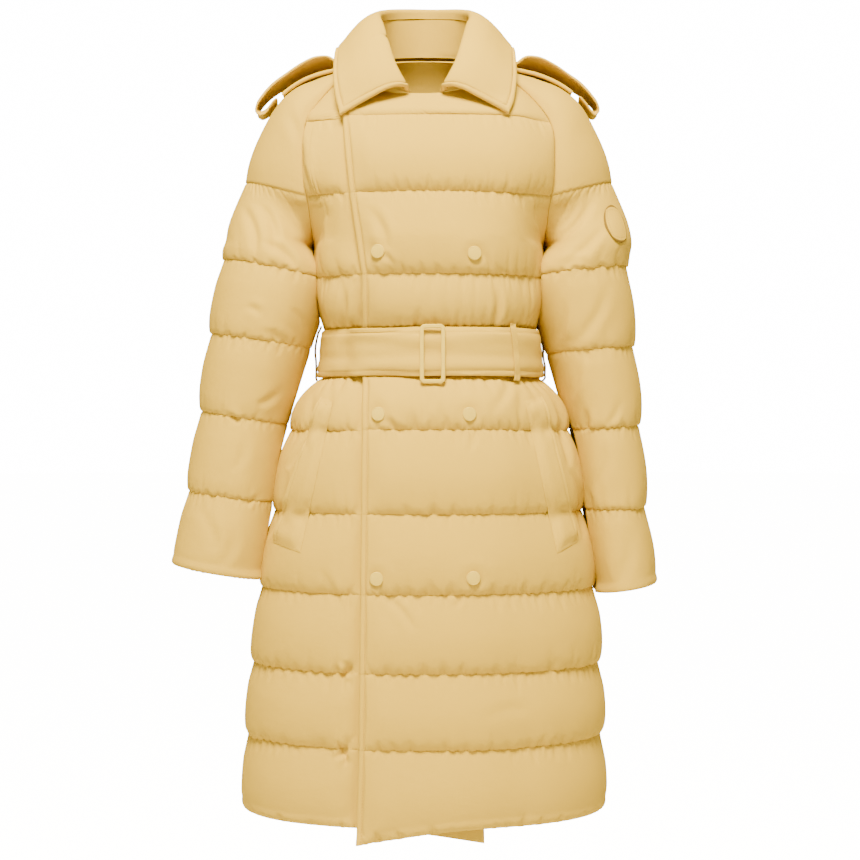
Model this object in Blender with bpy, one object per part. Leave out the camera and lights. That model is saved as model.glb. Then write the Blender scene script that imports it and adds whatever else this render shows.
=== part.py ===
"""A long double-breasted down coat with a belt, in its worn form, hollow, in metres, +Z up.

The origin is the middle of the neck at the height of the side neck points. The front faces -Y and
the wearer's left is +X. Each panel is a wall: its inner face is plain, and its outer face swells
between the quilting lines. A panel is a grid of rows (down the coat) and columns (across it).
"""
import math

import bmesh
import bpy
import numpy as np
from mathutils import Vector
from mathutils.bvhtree import BVHTree

SEAM_GAP = 0.0003  # between two pieces at a seam
WALL = 0.003  # shell and lining pressed together at a quilting line
BODY_PUFF = 0.0082  # how far the down lifts the shell between two lines
SLEEVE_PUFF = 0.0062
END_PUFF = 0.35  # the share of it that a panel keeps at its hem or cuff
SEAM_PUFF = (0.6, 0.1)  # and in its last two columns, at a seam
LAY_REACH = 0.015  # a piece is moved out by less than this to lie on what is under it
SQUARE = 2.3  # exponent of the body's sections: 2 is an ellipse, more is squarer
LAP_LIFT = 0.0062  # the over front lies this much further out, on the under front
LAP_WALL = 0.0012  # what the under front stands out where the over front presses it flat
LAP_SETBACK = 0.006  # the under front's edge ends this much short of the over front's mirror image

# The over front's free edge: columns this far in from it, and their share of the full swelling.
EDGE_STEPS = (0.0, 0.007, 0.030)
EDGE_PUFF = (0.25, 0.35, 1.0)
EDGE_SWELL = 0.0015  # the edge itself stays at least this thick beyond the wall
FRONT_COLUMNS = 9  # from the last of those columns to the seam

# The under front: columns this far outside the over front's edge, on the side that shows, and its
# columns in the rows that curve up to the neck seam.
UNDER_STEPS = (0.036, 0.013, 0.003)
UNDER_PUFF = (0.1, 0.6, 1.0, 1.0, 1.0, 1.0, 0.55)
UNDER_NECK = (-1.0, -0.94, -0.8, -0.62, -0.45, -0.30, -0.16, -0.08)

# Rounding of a channel: how far down it a row lies, and how much of the full swelling it has.
CHANNEL_ROWS = ((0.13, 0.70), (0.50, 1.00), (0.87, 0.84), (1.00, 0.00))


def table(names, *rows):
    """Named columns of a short table, as arrays."""
    return dict(zip(names.split(), np.array(rows, float).T))


# Shoulders, in three tables with one row of the grid each, from the neck seam to the underarm.
# front_* and back_* are the raglan seams. shift moves a row sideways, and closing turns the
# sleeve's row from an arch over the arm (0) into a closed ring (1).
RAGLAN = table(
    "front_x front_y front_z back_x back_y back_z",
    (0.074, 0.049, -0.027, 0.064, 0.049, 0.007),
    (0.116, 0.056, -0.040, 0.096, 0.078, -0.020),
    (0.141, 0.067, -0.066, 0.124, 0.096, -0.052),
    (0.157, 0.076, -0.092, 0.146, 0.106, -0.092),
    (0.160, 0.079, -0.105, 0.150, 0.108, -0.105),
    (0.161, 0.084, -0.140, 0.155, 0.108, -0.140),
    (0.159, 0.084, -0.175, 0.157, 0.103, -0.175),
    (0.157, 0.082, -0.188, 0.157, 0.099, -0.188),
    (0.155, 0.075, -0.202, 0.155, 0.089, -0.202),
    (0.153, 0.054, -0.226, 0.153, 0.063, -0.226),
    (0.152, 0.028, -0.242, 0.152, 0.033, -0.242),
    (0.152, 0.000, -0.250, 0.152, 0.000, -0.250),
)
# The crest of the shoulder and sleeve.
CREST = table(
    "top_x top_y top_z shift closing",
    (0.082, -0.003, -0.008, 0.000, 0.0),
    (0.118, 0.004, -0.017, 0.001, 0.0),
    (0.148, 0.008, -0.027, 0.003, 0.0),
    (0.180, 0.009, -0.043, 0.004, 0.0),
    (0.193, 0.009, -0.055, 0.005, 0.0),
    (0.217, 0.008, -0.092, 0.005, 0.0),
    (0.237, 0.005, -0.140, 0.005, 0.0),
    (0.242, 0.004, -0.162, 0.005, 0.0),
    (0.246, 0.003, -0.177, 0.005, 0.3),
    (0.253, 0.001, -0.203, 0.005, 0.65),
    (0.258, 0.000, -0.222, 0.005, 0.9),
    (0.261, 0.000, -0.238, 0.005, 1.0),
)
# The middle of the front and of the back.
MIDDLES = table(
    "chest_y chest_z nape_y nape_z",
    (0.096, -0.062, 0.080, 0.016),
    (0.106, -0.072, 0.101, -0.012),
    (0.113, -0.082, 0.113, -0.048),
    (0.118, -0.092, 0.121, -0.092),
    (0.122, -0.105, 0.124, -0.105),
    (0.130, -0.140, 0.129, -0.140),
    (0.134, -0.175, 0.132, -0.175),
    (0.135, -0.188, 0.132, -0.188),
    (0.136, -0.202, 0.133, -0.202),
    (0.137, -0.226, 0.133, -0.226),
    (0.138, -0.242, 0.133, -0.242),
    (0.138, -0.250, 0.133, -0.250),
)
YOKE = {**RAGLAN, **CREST, **MIDDLES}
UNDERARM = len(YOKE["front_x"]) - 1
# The chest above the first quilting line: how deep and how wide its section is at a height.
CHEST = table(
    "z depth reach",
    (-0.027, 0.0563, 0.130),
    (-0.040, 0.0795, 0.150),
    (-0.066, 0.0967, 0.180),
    (-0.092, 0.1180, 0.191),
)
NECK_ROWS = 3  # the rows above the first quilting line
ARMPIT_ROWS = ((-0.277, 0.84), (-0.291, 0.0))  # height and swelling of the rows just below it
ARM_PRESS = 0.97  # how much of the body's swelling the arm takes away there
PRESS_REACH = (0.55, 0.80)  # from nothing to all of it, over these shares of the way to the seam
PRESSED_ROWS = (3, 6)  # rows above and below the underarm that it presses
YOKE_BODY_PUFF = (0.0, 0.35, 0.4, 0.0, 0.7, 1.0, 0.84, 0.0, 0.7, 1.0, 1.0, 1.0)
YOKE_SLEEVE_PUFF = (0.0, 0.4, 0.7, 0.9, 1.0, 1.0, 0.84, 0.0, 0.7, 1.0, 1.0, 1.0)

# The body below the underarm: the middle, half width, front and back depth at a height.
BODY = table(
    "z middle half front back",
    (-0.250, 0.005, 0.152, 0.138, 0.133),
    (-0.291, 0.005, 0.155, 0.136, 0.128),
    (-0.325, 0.006, 0.151, 0.130, 0.120),
    (-0.357, 0.007, 0.141, 0.121, 0.111),
    (-0.389, 0.008, 0.139, 0.118, 0.107),
    (-0.421, 0.007, 0.142, 0.121, 0.111),
    (-0.455, 0.006, 0.168, 0.134, 0.130),
    (-0.489, 0.006, 0.182, 0.142, 0.141),
    (-0.594, 0.004, 0.201, 0.150, 0.152),
    (-0.694, 0.003, 0.217, 0.156, 0.158),
    (-0.792, 0.001, 0.226, 0.160, 0.162),
    (-0.886, -0.001, 0.231, 0.164, 0.165),
    (-0.985, -0.002, 0.233, 0.166, 0.167),
)
# Heights of the quilting lines below the armpit. The belt covers the flat stretch.
BELT_TOP, BELT_BOTTOM = -0.3595, -0.4195
LINES = (-0.188, -0.291, -0.357, -0.421, -0.489, -0.594, -0.694, -0.792, -0.886, -0.983)
FLAT_STRETCH = (-0.357, -0.421)
HEM_CHANNEL = LINES[-2:]
HEM_DIP = 0.018  # the front corners hang this much lower than the hem's sides
HEM_DIP_REACH = 0.070  # half the width over which the hem dips

# The free edge of the over front: its place across the chest at a height.
EDGE = table(
    "z x",
    (-0.062, -0.108), (-0.092, -0.103), (-0.188, -0.093), (-0.245, -0.083), (-0.291, -0.077),
    (-0.389, -0.076), (-0.694, -0.079), (-0.886, -0.081), (-0.983, -0.084),
)

# Rings of each sleeve at its quilting lines and its cuff: the inner and outer side, front depth.
SLEEVE = {
    -1: table(
        "inner_x outer_x inner_z outer_z middle_y depth",
        (0.125, 0.264, -0.293, -0.264, -0.010, 0.080),
        (0.152, 0.281, -0.381, -0.362, -0.010, 0.078),
        (0.182, 0.294, -0.481, -0.464, -0.012, 0.070),
        (0.196, 0.309, -0.583, -0.568, -0.020, 0.062),
        (0.214, 0.326, -0.684, -0.665, -0.030, 0.056),
    ),
    1: table(
        "inner_x outer_x inner_z outer_z middle_y depth",
        (0.130, 0.265, -0.290, -0.273, -0.008, 0.080),
        (0.162, 0.274, -0.388, -0.378, 0.000, 0.078),
        (0.190, 0.282, -0.488, -0.483, 0.000, 0.074),
        (0.206, 0.289, -0.592, -0.590, -0.005, 0.070),
        (0.226, 0.300, -0.702, -0.690, -0.010, 0.066),
    ),
}
UNDERARM_RING = dict(x=0.152, z=-0.250, depth=0.082)  # where the sleeve closes under the arm
SLEEVE_COLUMNS = 20
SLEEVE_DRAW = 0.0006  # how far a sleeve's edge is drawn back from the raglan seam
UNDERARM_DRAW = 0.0010  # and its lowest point further, from the body
SIDE_CLEARANCE = 0.0020  # between a sleeve and the side of the body
SIDE_SWELL = (0.352, 0.375)  # from the first depth on the body's side swells again, below the arm

# The collar, from its front end round to the middle of the back: the share of the neck seam, the
# roll where it folds over, and the free edge of the leaf.
COLLAR = table(
    "share roll_x roll_y roll_z edge_x edge_y edge_z",
    (0.00, 0.024, -0.112, -0.053, 0.105, -0.1145, -0.090),
    (0.10, 0.030, -0.112, -0.042, 0.112, -0.106, -0.072),
    (0.25, 0.040, -0.102, -0.020, 0.117, -0.090, -0.042),
    (0.40, 0.048, -0.082, 0.008, 0.118, -0.062, -0.016),
    (0.55, 0.056, -0.046, 0.038, 0.117, -0.022, 0.010),
    (0.70, 0.062, 0.000, 0.062, 0.115, 0.028, 0.013),
    (0.85, 0.048, 0.052, 0.078, 0.088, 0.088, -0.002),
    (1.00, 0.000, 0.078, 0.084, 0.000, 0.126, -0.008),
)
# Across the leaf, from the roll to the free edge: how far it bulges out and up.
LEAF = table("share rise", (0.10, 0.0042), (0.25, 0.0063), (0.50, 0.0056), (0.75, 0.0028), (1, 0))
COLLAR_START_X = 0.020
COLLAR_CLEARANCE = 0.0032
COLLAR_HALF = 0.003  # half the thickness of the collar's leaf
STAND_HALF = 0.002
STAND_FOOT = 0.0045  # the stand's foot above the neck seam's middle line
STAND_RAISE = 0.0045  # and further above it in front, over the lapped edges
ROLL_DEPTH = 0.012  # how far down inside the neck the leaf reaches before it rolls over
ROLL_SHARE = 0.45  # and at most this share of the stand's height
LEAF_START = 0.08  # the leaf starts this share of the roll above the stand's top
COLLAR_STATIONS = 15  # from a front end to the middle of the back

# The belt: one strip, from under the buckle round the waist and on over itself to its tip.
BELT_HALF = 0.0013  # half its thickness
BELT_CLEARANCE = 0.0011
BELT_ROWS = 4
BELT_FEELERS = 5  # looks for the cloth under the belt, per column
BELT_COLUMNS = 46
BUCKLE_X = 0.0095
BUCKLE_SIZE = (0.032, 0.0745)  # outside, across and up
BUCKLE_BAR = (0.0053, 0.0034)  # seen from the front, and its depth
BUCKLE_CORNER = 0.0065
BUCKLE_Z = -0.3926
BUCKLE_GAP = 0.0004
BUCKLE_PROFILE = table("across rise", (0, 0), (0, 0.65), (0.22, 1), (0.78, 1), (1, 0.65), (1, 0))
BELT_TIP_X = 0.140
BELT_LAP = (0.30, 0.06)  # the tip lifts off the waist over this turn before it meets the start
BELT_LAP_GAP = 0.0011
KEEPER = table(
    "x z",
    (0.1115, -0.3535), (0.1120, -0.3600), (0.1145, -0.3780), (0.1165, -0.4000),
    (0.1175, -0.4190), (0.1165, -0.4255),
)
KEEPER_POINTS = 11
KEEPER_WIDTH = 0.0085
KEEPER_HALF = 0.0008
KEEPER_CLEARANCE = 0.0012
KEEPER_FEELERS = (-0.006, -0.003, 0.0, 0.003, 0.006)  # looks up and down for what it bridges

# The straps on the shoulders, along a line out from the neck: the upper one arches over the
# shoulder and folds back under itself at the end, and the lower one lies on the shoulder. fall is
# how much lower the back edge lies than the front one.
UPPER_STRAP = table(
    "x z width fall",
    (0.104, -0.002, 0.040, 0.012), (0.118, 0.0015, 0.041, 0.013), (0.130, 0.010, 0.042, 0.014),
    (0.146, 0.010, 0.044, 0.014), (0.166, 0.001, 0.046, 0.013), (0.186, -0.013, 0.048, 0.010),
    (0.204, -0.027, 0.049, 0.007), (0.218, -0.043, 0.049, 0.005), (0.2255, -0.055, 0.048, 0.004),
    (0.2265, -0.062, 0.047, 0.003), (0.222, -0.0665, 0.046, 0.002), (0.214, -0.064, 0.046, 0.001),
    (0.206, -0.056, 0.046, 0.001),
)
LOWER_STRAP = table(
    "x z width fall",
    (0.104, -0.008, 0.034, 0.005), (0.126, -0.010, 0.036, 0.006), (0.146, -0.014, 0.038, 0.006),
    (0.164, -0.022, 0.040, 0.004), (0.180, -0.034, 0.042, 0.002), (0.192, -0.046, 0.042, 0.000),
)
STRAP_HALF = 0.0014
STRAP_Y = 0.006
STRAP_CROWN = 0.004  # the strap's edges hang this much lower than its middle
STRAP_ACROSS = 4
LOWER_STRAP_CLEARANCE = STRAP_HALF + 0.0020
UPPER_STRAP_CLEARANCE = 3 * STRAP_HALF + 0.0030

# The pocket welts: each side's four corners, across and up, top inner, top outer and so on.
WELT = table(
    "side top_in_x top_in_z top_out_x top_out_z low_in_x low_in_z low_out_x low_out_z",
    (-1, 0.1165, -0.453, 0.1330, -0.446, 0.1575, -0.6435, 0.1960, -0.633),
    (1, 0.1260, -0.4517, 0.1500, -0.4445, 0.1667, -0.6445, 0.1960, -0.6315),
)
WELT_HALF = 0.0013
WELT_CLEARANCE = 0.0012
WELT_GRID = (15, 4)  # points down and across
# The welt bridges a quilting line: each point stands out as far as the panel does this near it.
WELT_FEELERS = ((0, 0), (0.003, 0), (-0.003, 0), (0, 0.007), (0, -0.007))

SNAPS = table(
    "column level x z",
    (1, 1, -0.0590, -0.2643), (2, 1, 0.0617, -0.2668),
    (1, 2, -0.0582, -0.4682), (2, 2, 0.0555, -0.4682),
    (1, 3, -0.0600, -0.6730), (2, 3, 0.0600, -0.6717),
)
SNAP_PROFILE = table(
    "radius height",
    (0.0088, 0.0000), (0.0088, 0.0012), (0.0079, 0.0025), (0.0056, 0.0035), (0.0028, 0.0040),
)
SNAP_SIDES = 20
SNAP_GAP = 0.0006

PATCH_MIDDLE = (0.203, -0.222)  # the middle of the sleeve there, across and up
PATCH_TURN = math.radians(35)  # from the front round to the outside
PATCH_SIZE = (0.040, 0.050)
PATCH_COLUMNS = 7
PATCH_HALF = 0.0006
PATCH_CLEARANCE = 0.0011
SLEEVE_RADIUS = 0.080  # of the arm where the patch lies

LOOP_POINTS = 13
LOOP_RADIUS = 0.0008
LOOP_GAP = 0.0006  # between it and what it lies on
LOOP_Y = 0.002  # just behind the side seam
LOOP_FEELERS = (-0.004, 0.0, 0.004)  # looks up and down for what it bridges
LOOP_REACH = {-1: 1.0, 1: 0.55}  # the left arm leaves its loop less room
LOOP = table(
    "out z",
    (0.000, -0.352), (0.007, -0.360), (0.0125, -0.376), (0.0135, -0.390), (0.011, -0.404),
    (0.005, -0.416), (0.000, -0.424),
)

CLOTH = (0.79, 0.61, 0.33, 1.0)
TRIM = (0.76, 0.60, 0.30, 1.0)


def smooth_step(value, start, end):
    share = np.clip((np.asarray(value, float) - start) / (end - start), 0.0, 1.0)
    return share * share * (3 - 2 * share)


def along(points, places, where):
    """A smooth curve through a column of numbers, read at the places in where."""
    points, places = np.asarray(points, float), np.asarray(places, float)
    slopes = np.gradient(points, places)
    where = np.asarray(where, float)
    i = np.clip(np.searchsorted(places, where) - 1, 0, len(places) - 2)
    step = places[i + 1] - places[i]
    t = np.clip((where - places[i]) / step, 0.0, 1.0)
    return (
        points[i] * (2 * t**3 - 3 * t**2 + 1)
        + slopes[i] * step * (t**3 - 2 * t**2 + t)
        + points[i + 1] * (3 * t**2 - 2 * t**3)
        + slopes[i + 1] * step * (t**3 - t**2)
    )


def section(z):
    """Middle, half width, front depth and back depth of the body at a height."""
    return [along(BODY[name], -BODY["z"], -z) for name in ("middle", "half", "front", "back")]


def edge_x(z):
    return float(np.interp(-z, -EDGE["z"], EDGE["x"]))


class Row:
    """One line of points round the coat: its middle, depths, seam ends and swelling."""

    def __init__(self, middle, front, back, puff):
        self.middle = middle
        self.front = front  # depth, height in the middle, seam x, seam y, seam z
        self.back = back
        self.puff = puff


def body_rows():
    """The rows of the front and back panels, from the neck seam down to the hem."""
    rows = []
    for k, puff in enumerate(YOKE_BODY_PUFF):
        row = {name: YOKE[name][k] for name in YOKE}
        front = (row["chest_y"], row["chest_z"], row["front_x"], row["front_y"], row["front_z"])
        back = (row["nape_y"], row["nape_z"], row["back_x"], row["back_y"], row["back_z"])
        rows.append(Row(row["shift"], front, back, puff))
    heights = list(ARMPIT_ROWS)
    for top, bottom in zip(LINES[1:], LINES[2:]):
        if (top, bottom) == FLAT_STRETCH:
            heights += [((top + bottom) / 2, 0.0), (bottom, 0.0)]
            continue
        heights += [(top + (bottom - top) * t, puff) for t, puff in CHANNEL_ROWS]
    for z, puff in heights:
        middle, half, front, back = section(z)
        rows.append(Row(middle, (front, z, half, 0.0, z), (back, z, half, 0.0, z), puff))
    rows[-1].puff = END_PUFF
    return rows


def reach_and_end(depth, seam_x, seam_y):
    """Where a row's superellipse would end sideways, and its angle at the seam."""
    drop = (seam_y / depth) ** SQUARE
    reach = seam_x / (1 - drop) ** (1 / SQUARE)
    return reach, math.atan2((seam_x / reach) ** (SQUARE / 2), drop**0.5)


def share_at(side_row, x):
    """The share of the way from the middle of a row to its seam at which it is x from the middle."""
    depth, _, seam_x, seam_y, _ = side_row
    reach, end = reach_and_end(depth, seam_x, seam_y)
    return math.copysign(math.asin(min(1.0, abs(x) / reach) ** (SQUARE / 2)) / end, x)


def chest_depth(x, z):
    """How far in front of the neck's middle the chest lies, above the first quilting line."""
    depth = along(CHEST["depth"], -CHEST["z"], -z)
    reach = along(CHEST["reach"], -CHEST["z"], -z)
    return depth * (1 - min(0.98, abs(x) / reach) ** SQUARE) ** (1 / SQUARE)


def neck_point(row, share):
    """A point of a front row that curves up to the neck seam."""
    _, middle_z, seam_x, _, seam_z = row.front
    x = math.copysign(seam_x * math.sin(abs(share) * math.pi / 2), share)
    z = middle_z + (seam_z - middle_z) * share * share
    return row.middle + x, -chest_depth(x, z), z


def lapel_point(row, x):
    """A point of a front row on the far side of the middle, where the top edge runs level."""
    return row.middle + x, -chest_depth(x, row.front[1]), row.front[1]


def row_point(row, share, facing):
    """A point of the front (facing -1) or back (facing 1). share is -1 or 1 at the seams."""
    depth, middle_z, seam_x, seam_y, seam_z = row.front if facing < 0 else row.back
    reach, end = reach_and_end(depth, seam_x, seam_y)
    angle = abs(share) * end
    x = math.copysign(reach * math.sin(angle) ** (2 / SQUARE), share)
    y = facing * depth * math.cos(angle) ** (2 / SQUARE)
    return row.middle + x, y, middle_z + (seam_z - middle_z) * share * share


def dip(x, lap_side):
    """How much lower than its sides the hem of a front hangs. lap_side is -1 on the over front."""
    share = (lap_side * x + HEM_DIP_REACH) / (2 * HEM_DIP_REACH)
    return -HEM_DIP * np.clip(share, 0.0, 1.2) ** 1.5


def hang(points, lap_side):
    """Lets the last channel of a front down to its dipping hem."""
    z = points[..., 2]
    share = np.clip((HEM_CHANNEL[0] - z) / (HEM_CHANNEL[0] - HEM_CHANNEL[1]), 0.0, 1.0)
    points[..., 2] = z + share * dip(points[..., 0], lap_side)
    return points


def front_shares(row, edge, steps, count):
    """Shares from some steps near a front's free edge on to its seam at 1."""
    near = [share_at(row.front, edge + step) for step in steps]
    inside = np.linspace(0.0, 1.0, count)[1:-1]
    return near + [near[-1] + (1 - near[-1]) * t for t in inside] + [0.965, 1.0]


def pressed(share, row_number):
    """How much swelling the body keeps where the arm presses on it, just under the armpit."""
    above, below = PRESSED_ROWS
    if not UNDERARM - above <= row_number <= UNDERARM + below:
        return 1.0
    return 1 - ARM_PRESS * float(smooth_step(abs(share), *PRESS_REACH))


def front_over(rows):
    """The wearer's left front. Its columns run from the free edge to the raglan and side seam."""
    points, puffs, lifts = [], [], []
    for number, row in enumerate(rows):
        edge = edge_x(row.front[1]) - row.middle
        if number < NECK_ROWS:
            far = [lapel_point(row, edge + step) for step in EDGE_STEPS]
            far += [lapel_point(row, edge * t) for t in (0.5, 0.22)]
            shares = [0.0] * 5 + list(np.linspace(0.0, 1.0, 7)[:-1]) + [1.0]
            line = far + [neck_point(row, share) for share in shares[5:]]
        else:
            shares = front_shares(row, edge, EDGE_STEPS, FRONT_COLUMNS)
            line = [row_point(row, share, -1) for share in shares]
        across = list(EDGE_PUFF) + [1.0] * (FRONT_COLUMNS - 2) + list(SEAM_PUFF)
        across = [a * pressed(share, number) for a, share in zip(across, shares)]
        points.append(line)
        puffs.append([BODY_PUFF * row.puff * a for a in across])
        lap_end = -edge - LAP_SETBACK + row.middle
        x = np.array(line)[:, 0]
        lift = LAP_LIFT * (1 - smooth_step(x, lap_end + 0.004, lap_end + 0.050))
        lifts.append(lift * (1 - smooth_step(shares, 0.78, 1.0)))
    points, puffs = hang(np.array(points), -1), np.array(puffs)
    puffs[:, 0] = np.maximum(puffs[:, 0], EDGE_SWELL)
    return points, np.array(lifts), puffs


def front_under(rows):
    """The wearer's right front. Its columns run from the side seam to the edge hidden in the lap."""
    points, puffs = [], []
    lapped = np.linspace(0.0, 1.0, 5)[1:]
    for number, row in enumerate(rows):
        edge = edge_x(row.front[1]) - row.middle
        hidden = -edge - LAP_SETBACK
        if number < NECK_ROWS:
            shares = UNDER_NECK
            line = [neck_point(row, share) for share in shares]
            line += [lapel_point(row, hidden * t) for t in (0.0, 0.33, 0.67, 1.0)]
        else:
            near = [share_at(row.front, edge - step) for step in UNDER_STEPS]
            inside = np.linspace(0.0, 1.0, 5)[1:-1]
            shares = [-1.0, -0.965] + [-1 + (1 + near[0]) * t for t in inside] + near
            line = [row_point(row, share, -1) for share in shares]
            line += [
                row_point(row, share_at(row.front, edge + (hidden - edge) * t), -1) for t in lapped
            ]
        across = [a * pressed(share, number) for a, share in zip(UNDER_PUFF, shares)]
        points.append(line)
        puffs.append([BODY_PUFF * row.puff * a for a in across] + [LAP_WALL] * 5)
    points, puffs = hang(np.array(points), 1), np.array(puffs)
    puffs[:NECK_ROWS, 3:] = LAP_WALL
    return points, np.zeros_like(puffs), puffs


def back_panel(rows):
    """The back. Its columns run from the wearer's left seam to the right one."""
    shares = [1.0, 0.965] + list(np.linspace(0.86, -0.86, 11)) + [-0.965, -1.0]
    across = list(SEAM_PUFF[::-1]) + [1.0] * 11 + list(SEAM_PUFF)
    points = np.array([[row_point(row, share, 1) for share in shares] for row in rows])
    puffs = [
        [BODY_PUFF * row.puff * a * pressed(share, number) for a, share in zip(across, shares)]
        for number, row in enumerate(rows)
    ]
    return points, np.zeros_like(puffs), np.array(puffs)


def ring(inner_x, outer_x, inner_z, outer_z, middle_y, depth, turns):
    """A closed ring of a sleeve. turns is 0 and 1 at the inner side, 0.25 at the front."""
    angle = -math.pi / 2 + 2 * math.pi * np.asarray(turns)
    outward = (np.sin(angle) + 1) / 2
    x = inner_x + (outer_x - inner_x) * outward
    y = middle_y - depth * np.cos(angle)
    return np.stack([x, y, inner_z + (outer_z - inner_z) * outward], axis=-1)


def arch(k, turns):
    """A row of the sleeve over the shoulder, from the front raglan seam to the back one."""
    front = np.array([YOKE["front_x"][k], -YOKE["front_y"][k], YOKE["front_z"][k]])
    back = np.array([YOKE["back_x"][k], YOKE["back_y"][k], YOKE["back_z"][k]])
    top = np.array([YOKE["top_x"][k], YOKE["top_y"][k], YOKE["top_z"][k]])
    centre, spread = (front + back) / 2, (front - back) / 2
    angle = math.pi * np.asarray(turns)[:, None]
    over = centre + (top - centre) * np.sin(angle) + spread * np.cos(angle)
    closing = YOKE["closing"][k]
    inner, depth = UNDERARM_RING["x"], UNDERARM_RING["depth"]
    round_arm = ring(inner, top[0], front[2], top[2], top[1], depth, turns)
    points = over * (1 - closing) + round_arm * closing
    near_front = np.clip(1 - np.asarray(turns) / 0.25, 0.0, 1.0)[:, None] ** 2
    near_back = near_front[::-1]
    return points + (front - points[0]) * near_front + (back - points[-1]) * near_back


def sleeve(side):
    """A raglan sleeve. Its columns run from the front seam over the arm to the back seam."""
    turns = np.linspace(0.0, 1.0, SLEEVE_COLUMNS + 1)
    rows, puffs = [], []
    for k, puff in enumerate(YOKE_SLEEVE_PUFF):
        points = arch(k, turns)
        points[:, 0] = side * points[:, 0] + YOKE["shift"][k]
        rows.append(points)
        puffs.append(puff)
    shift = side * YOKE["shift"][UNDERARM]
    first = dict(inner_x=UNDERARM_RING["x"] + shift, outer_x=YOKE["top_x"][UNDERARM] + shift)
    first.update(inner_z=UNDERARM_RING["z"], outer_z=YOKE["top_z"][UNDERARM])
    first.update(middle_y=0.0, depth=UNDERARM_RING["depth"])
    rings = {name: np.concatenate([[first[name]], SLEEVE[side][name]]) for name in first}
    lines = np.arange(len(rings["depth"]))
    places = [(0.78, 0.84), (1.0, 0.0)]
    places += [(line + t, puff) for line in lines[1:-1] for t, puff in CHANNEL_ROWS]
    for place, puff in places:
        values = {name: float(along(column, lines, place)) for name, column in rings.items()}
        points = ring(turns=turns, **values)
        points[:, 0] *= side
        rows.append(points)
        puffs.append(puff)
    points = np.array(rows)
    puffs[-1] = END_PUFF
    puffs = SLEEVE_PUFF * np.array(puffs)[:, None] * np.ones(len(turns))
    open_rows = np.arange(len(points)) <= UNDERARM
    at_seam = np.minimum(turns, 1 - turns)
    puffs[open_rows] *= 0.1 + 0.9 * smooth_step(at_seam, 0.0, 0.12)
    by_body = np.arange(len(points)) >= UNDERARM - 3
    inner_side = 1 - smooth_step(at_seam, 0.10, 0.24)
    puffs[by_body] *= 1 - 0.9 * inner_side
    keep_off_body(points[UNDERARM + 1:], side)
    return points, np.zeros_like(puffs), puffs


def keep_off_body(points, side):
    """Presses the inner side of the sleeve's rings flat against the body, just clear of it."""
    z = points[..., 2]
    middle, half, front, back = section(np.clip(z, BODY["z"][-1], BODY["z"][0]))
    depth = np.where(points[..., 1] < 0, front, back)
    forward = np.minimum(1.0, np.abs(points[..., 1]) / depth) ** SQUARE
    inside = (1 - forward) ** (1 / SQUARE)
    share = np.arccos(np.sqrt(forward)) / (math.pi / 2)
    arm = ARM_PRESS * (1 - smooth_step(-z, *SIDE_SWELL))
    swollen = BODY_PUFF * (1 - arm * smooth_step(share, *PRESS_REACH))
    limit = side * middle + half * inside + swollen + SIDE_CLEARANCE
    points[..., 0] = side * np.maximum(side * points[..., 0], limit)


def key(point):
    return tuple(np.round(point, 6))


def shared_normals(grids):
    """Outward normals at each grid's points, the same on both sides of a seam."""
    sums = {}
    for points in grids:
        down = points[1:, :-1] - points[:-1, :-1]
        across = points[:-1, 1:] - points[:-1, :-1]
        far_down = points[1:, 1:] - points[:-1, 1:]
        far_across = points[1:, 1:] - points[1:, :-1]
        normals = np.cross(down, across) + np.cross(far_down, far_across)
        for r in range(normals.shape[0]):
            for c in range(normals.shape[1]):
                for corner in (points[r, c], points[r + 1, c], points[r, c + 1], points[r + 1, c + 1]):
                    place = key(corner)
                    sums[place] = sums.get(place, 0) + normals[r, c]
    found = []
    for points in grids:
        flat = np.array([sums[key(point)] for point in points.reshape(-1, 3)])
        flat /= np.linalg.norm(flat, axis=1)[:, None]
        found.append(flat.reshape(points.shape))
    return found


def draw_in(points, columns=(0, -1), amount=SEAM_GAP / 2 + 0.0001):
    """Pulls the border columns of a grid back from its seams."""
    points = points.copy()
    for c in columns:
        seam = np.gradient(points[:, c], axis=0)
        seam /= np.linalg.norm(seam, axis=1)[:, None]
        step = points[:, 1 if c == 0 else -2] - points[:, c]
        step -= seam * (step * seam).sum(axis=1)[:, None]
        points[:, c] += amount * step / np.maximum(np.linalg.norm(step, axis=1)[:, None], 1e-6)
    return points


def material(name, colour, roughness, metallic=0.0):
    made = bpy.data.materials.get(name) or bpy.data.materials.new(name)
    made.use_nodes = True
    shader = made.node_tree.nodes["Principled BSDF"]
    shader.inputs["Base Color"].default_value = colour
    shader.inputs["Roughness"].default_value = roughness
    shader.inputs["Metallic"].default_value = metallic
    return made


def add_object(name, vertices, faces, finish):
    mesh = bpy.data.meshes.new(name)
    mesh.from_pydata([tuple(v) for v in vertices], [], faces)
    work = bmesh.new()
    work.from_mesh(mesh)
    if work.calc_volume(signed=True) < 0:
        bmesh.ops.reverse_faces(work, faces=work.faces)
    work.to_mesh(mesh)
    work.free()
    mesh.shade_smooth()
    mesh.set_sharp_from_angle(angle=math.radians(50))
    mesh.materials.append(finish)
    made = bpy.data.objects.new(name, mesh)
    bpy.context.scene.collection.objects.link(made)
    return made


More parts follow.
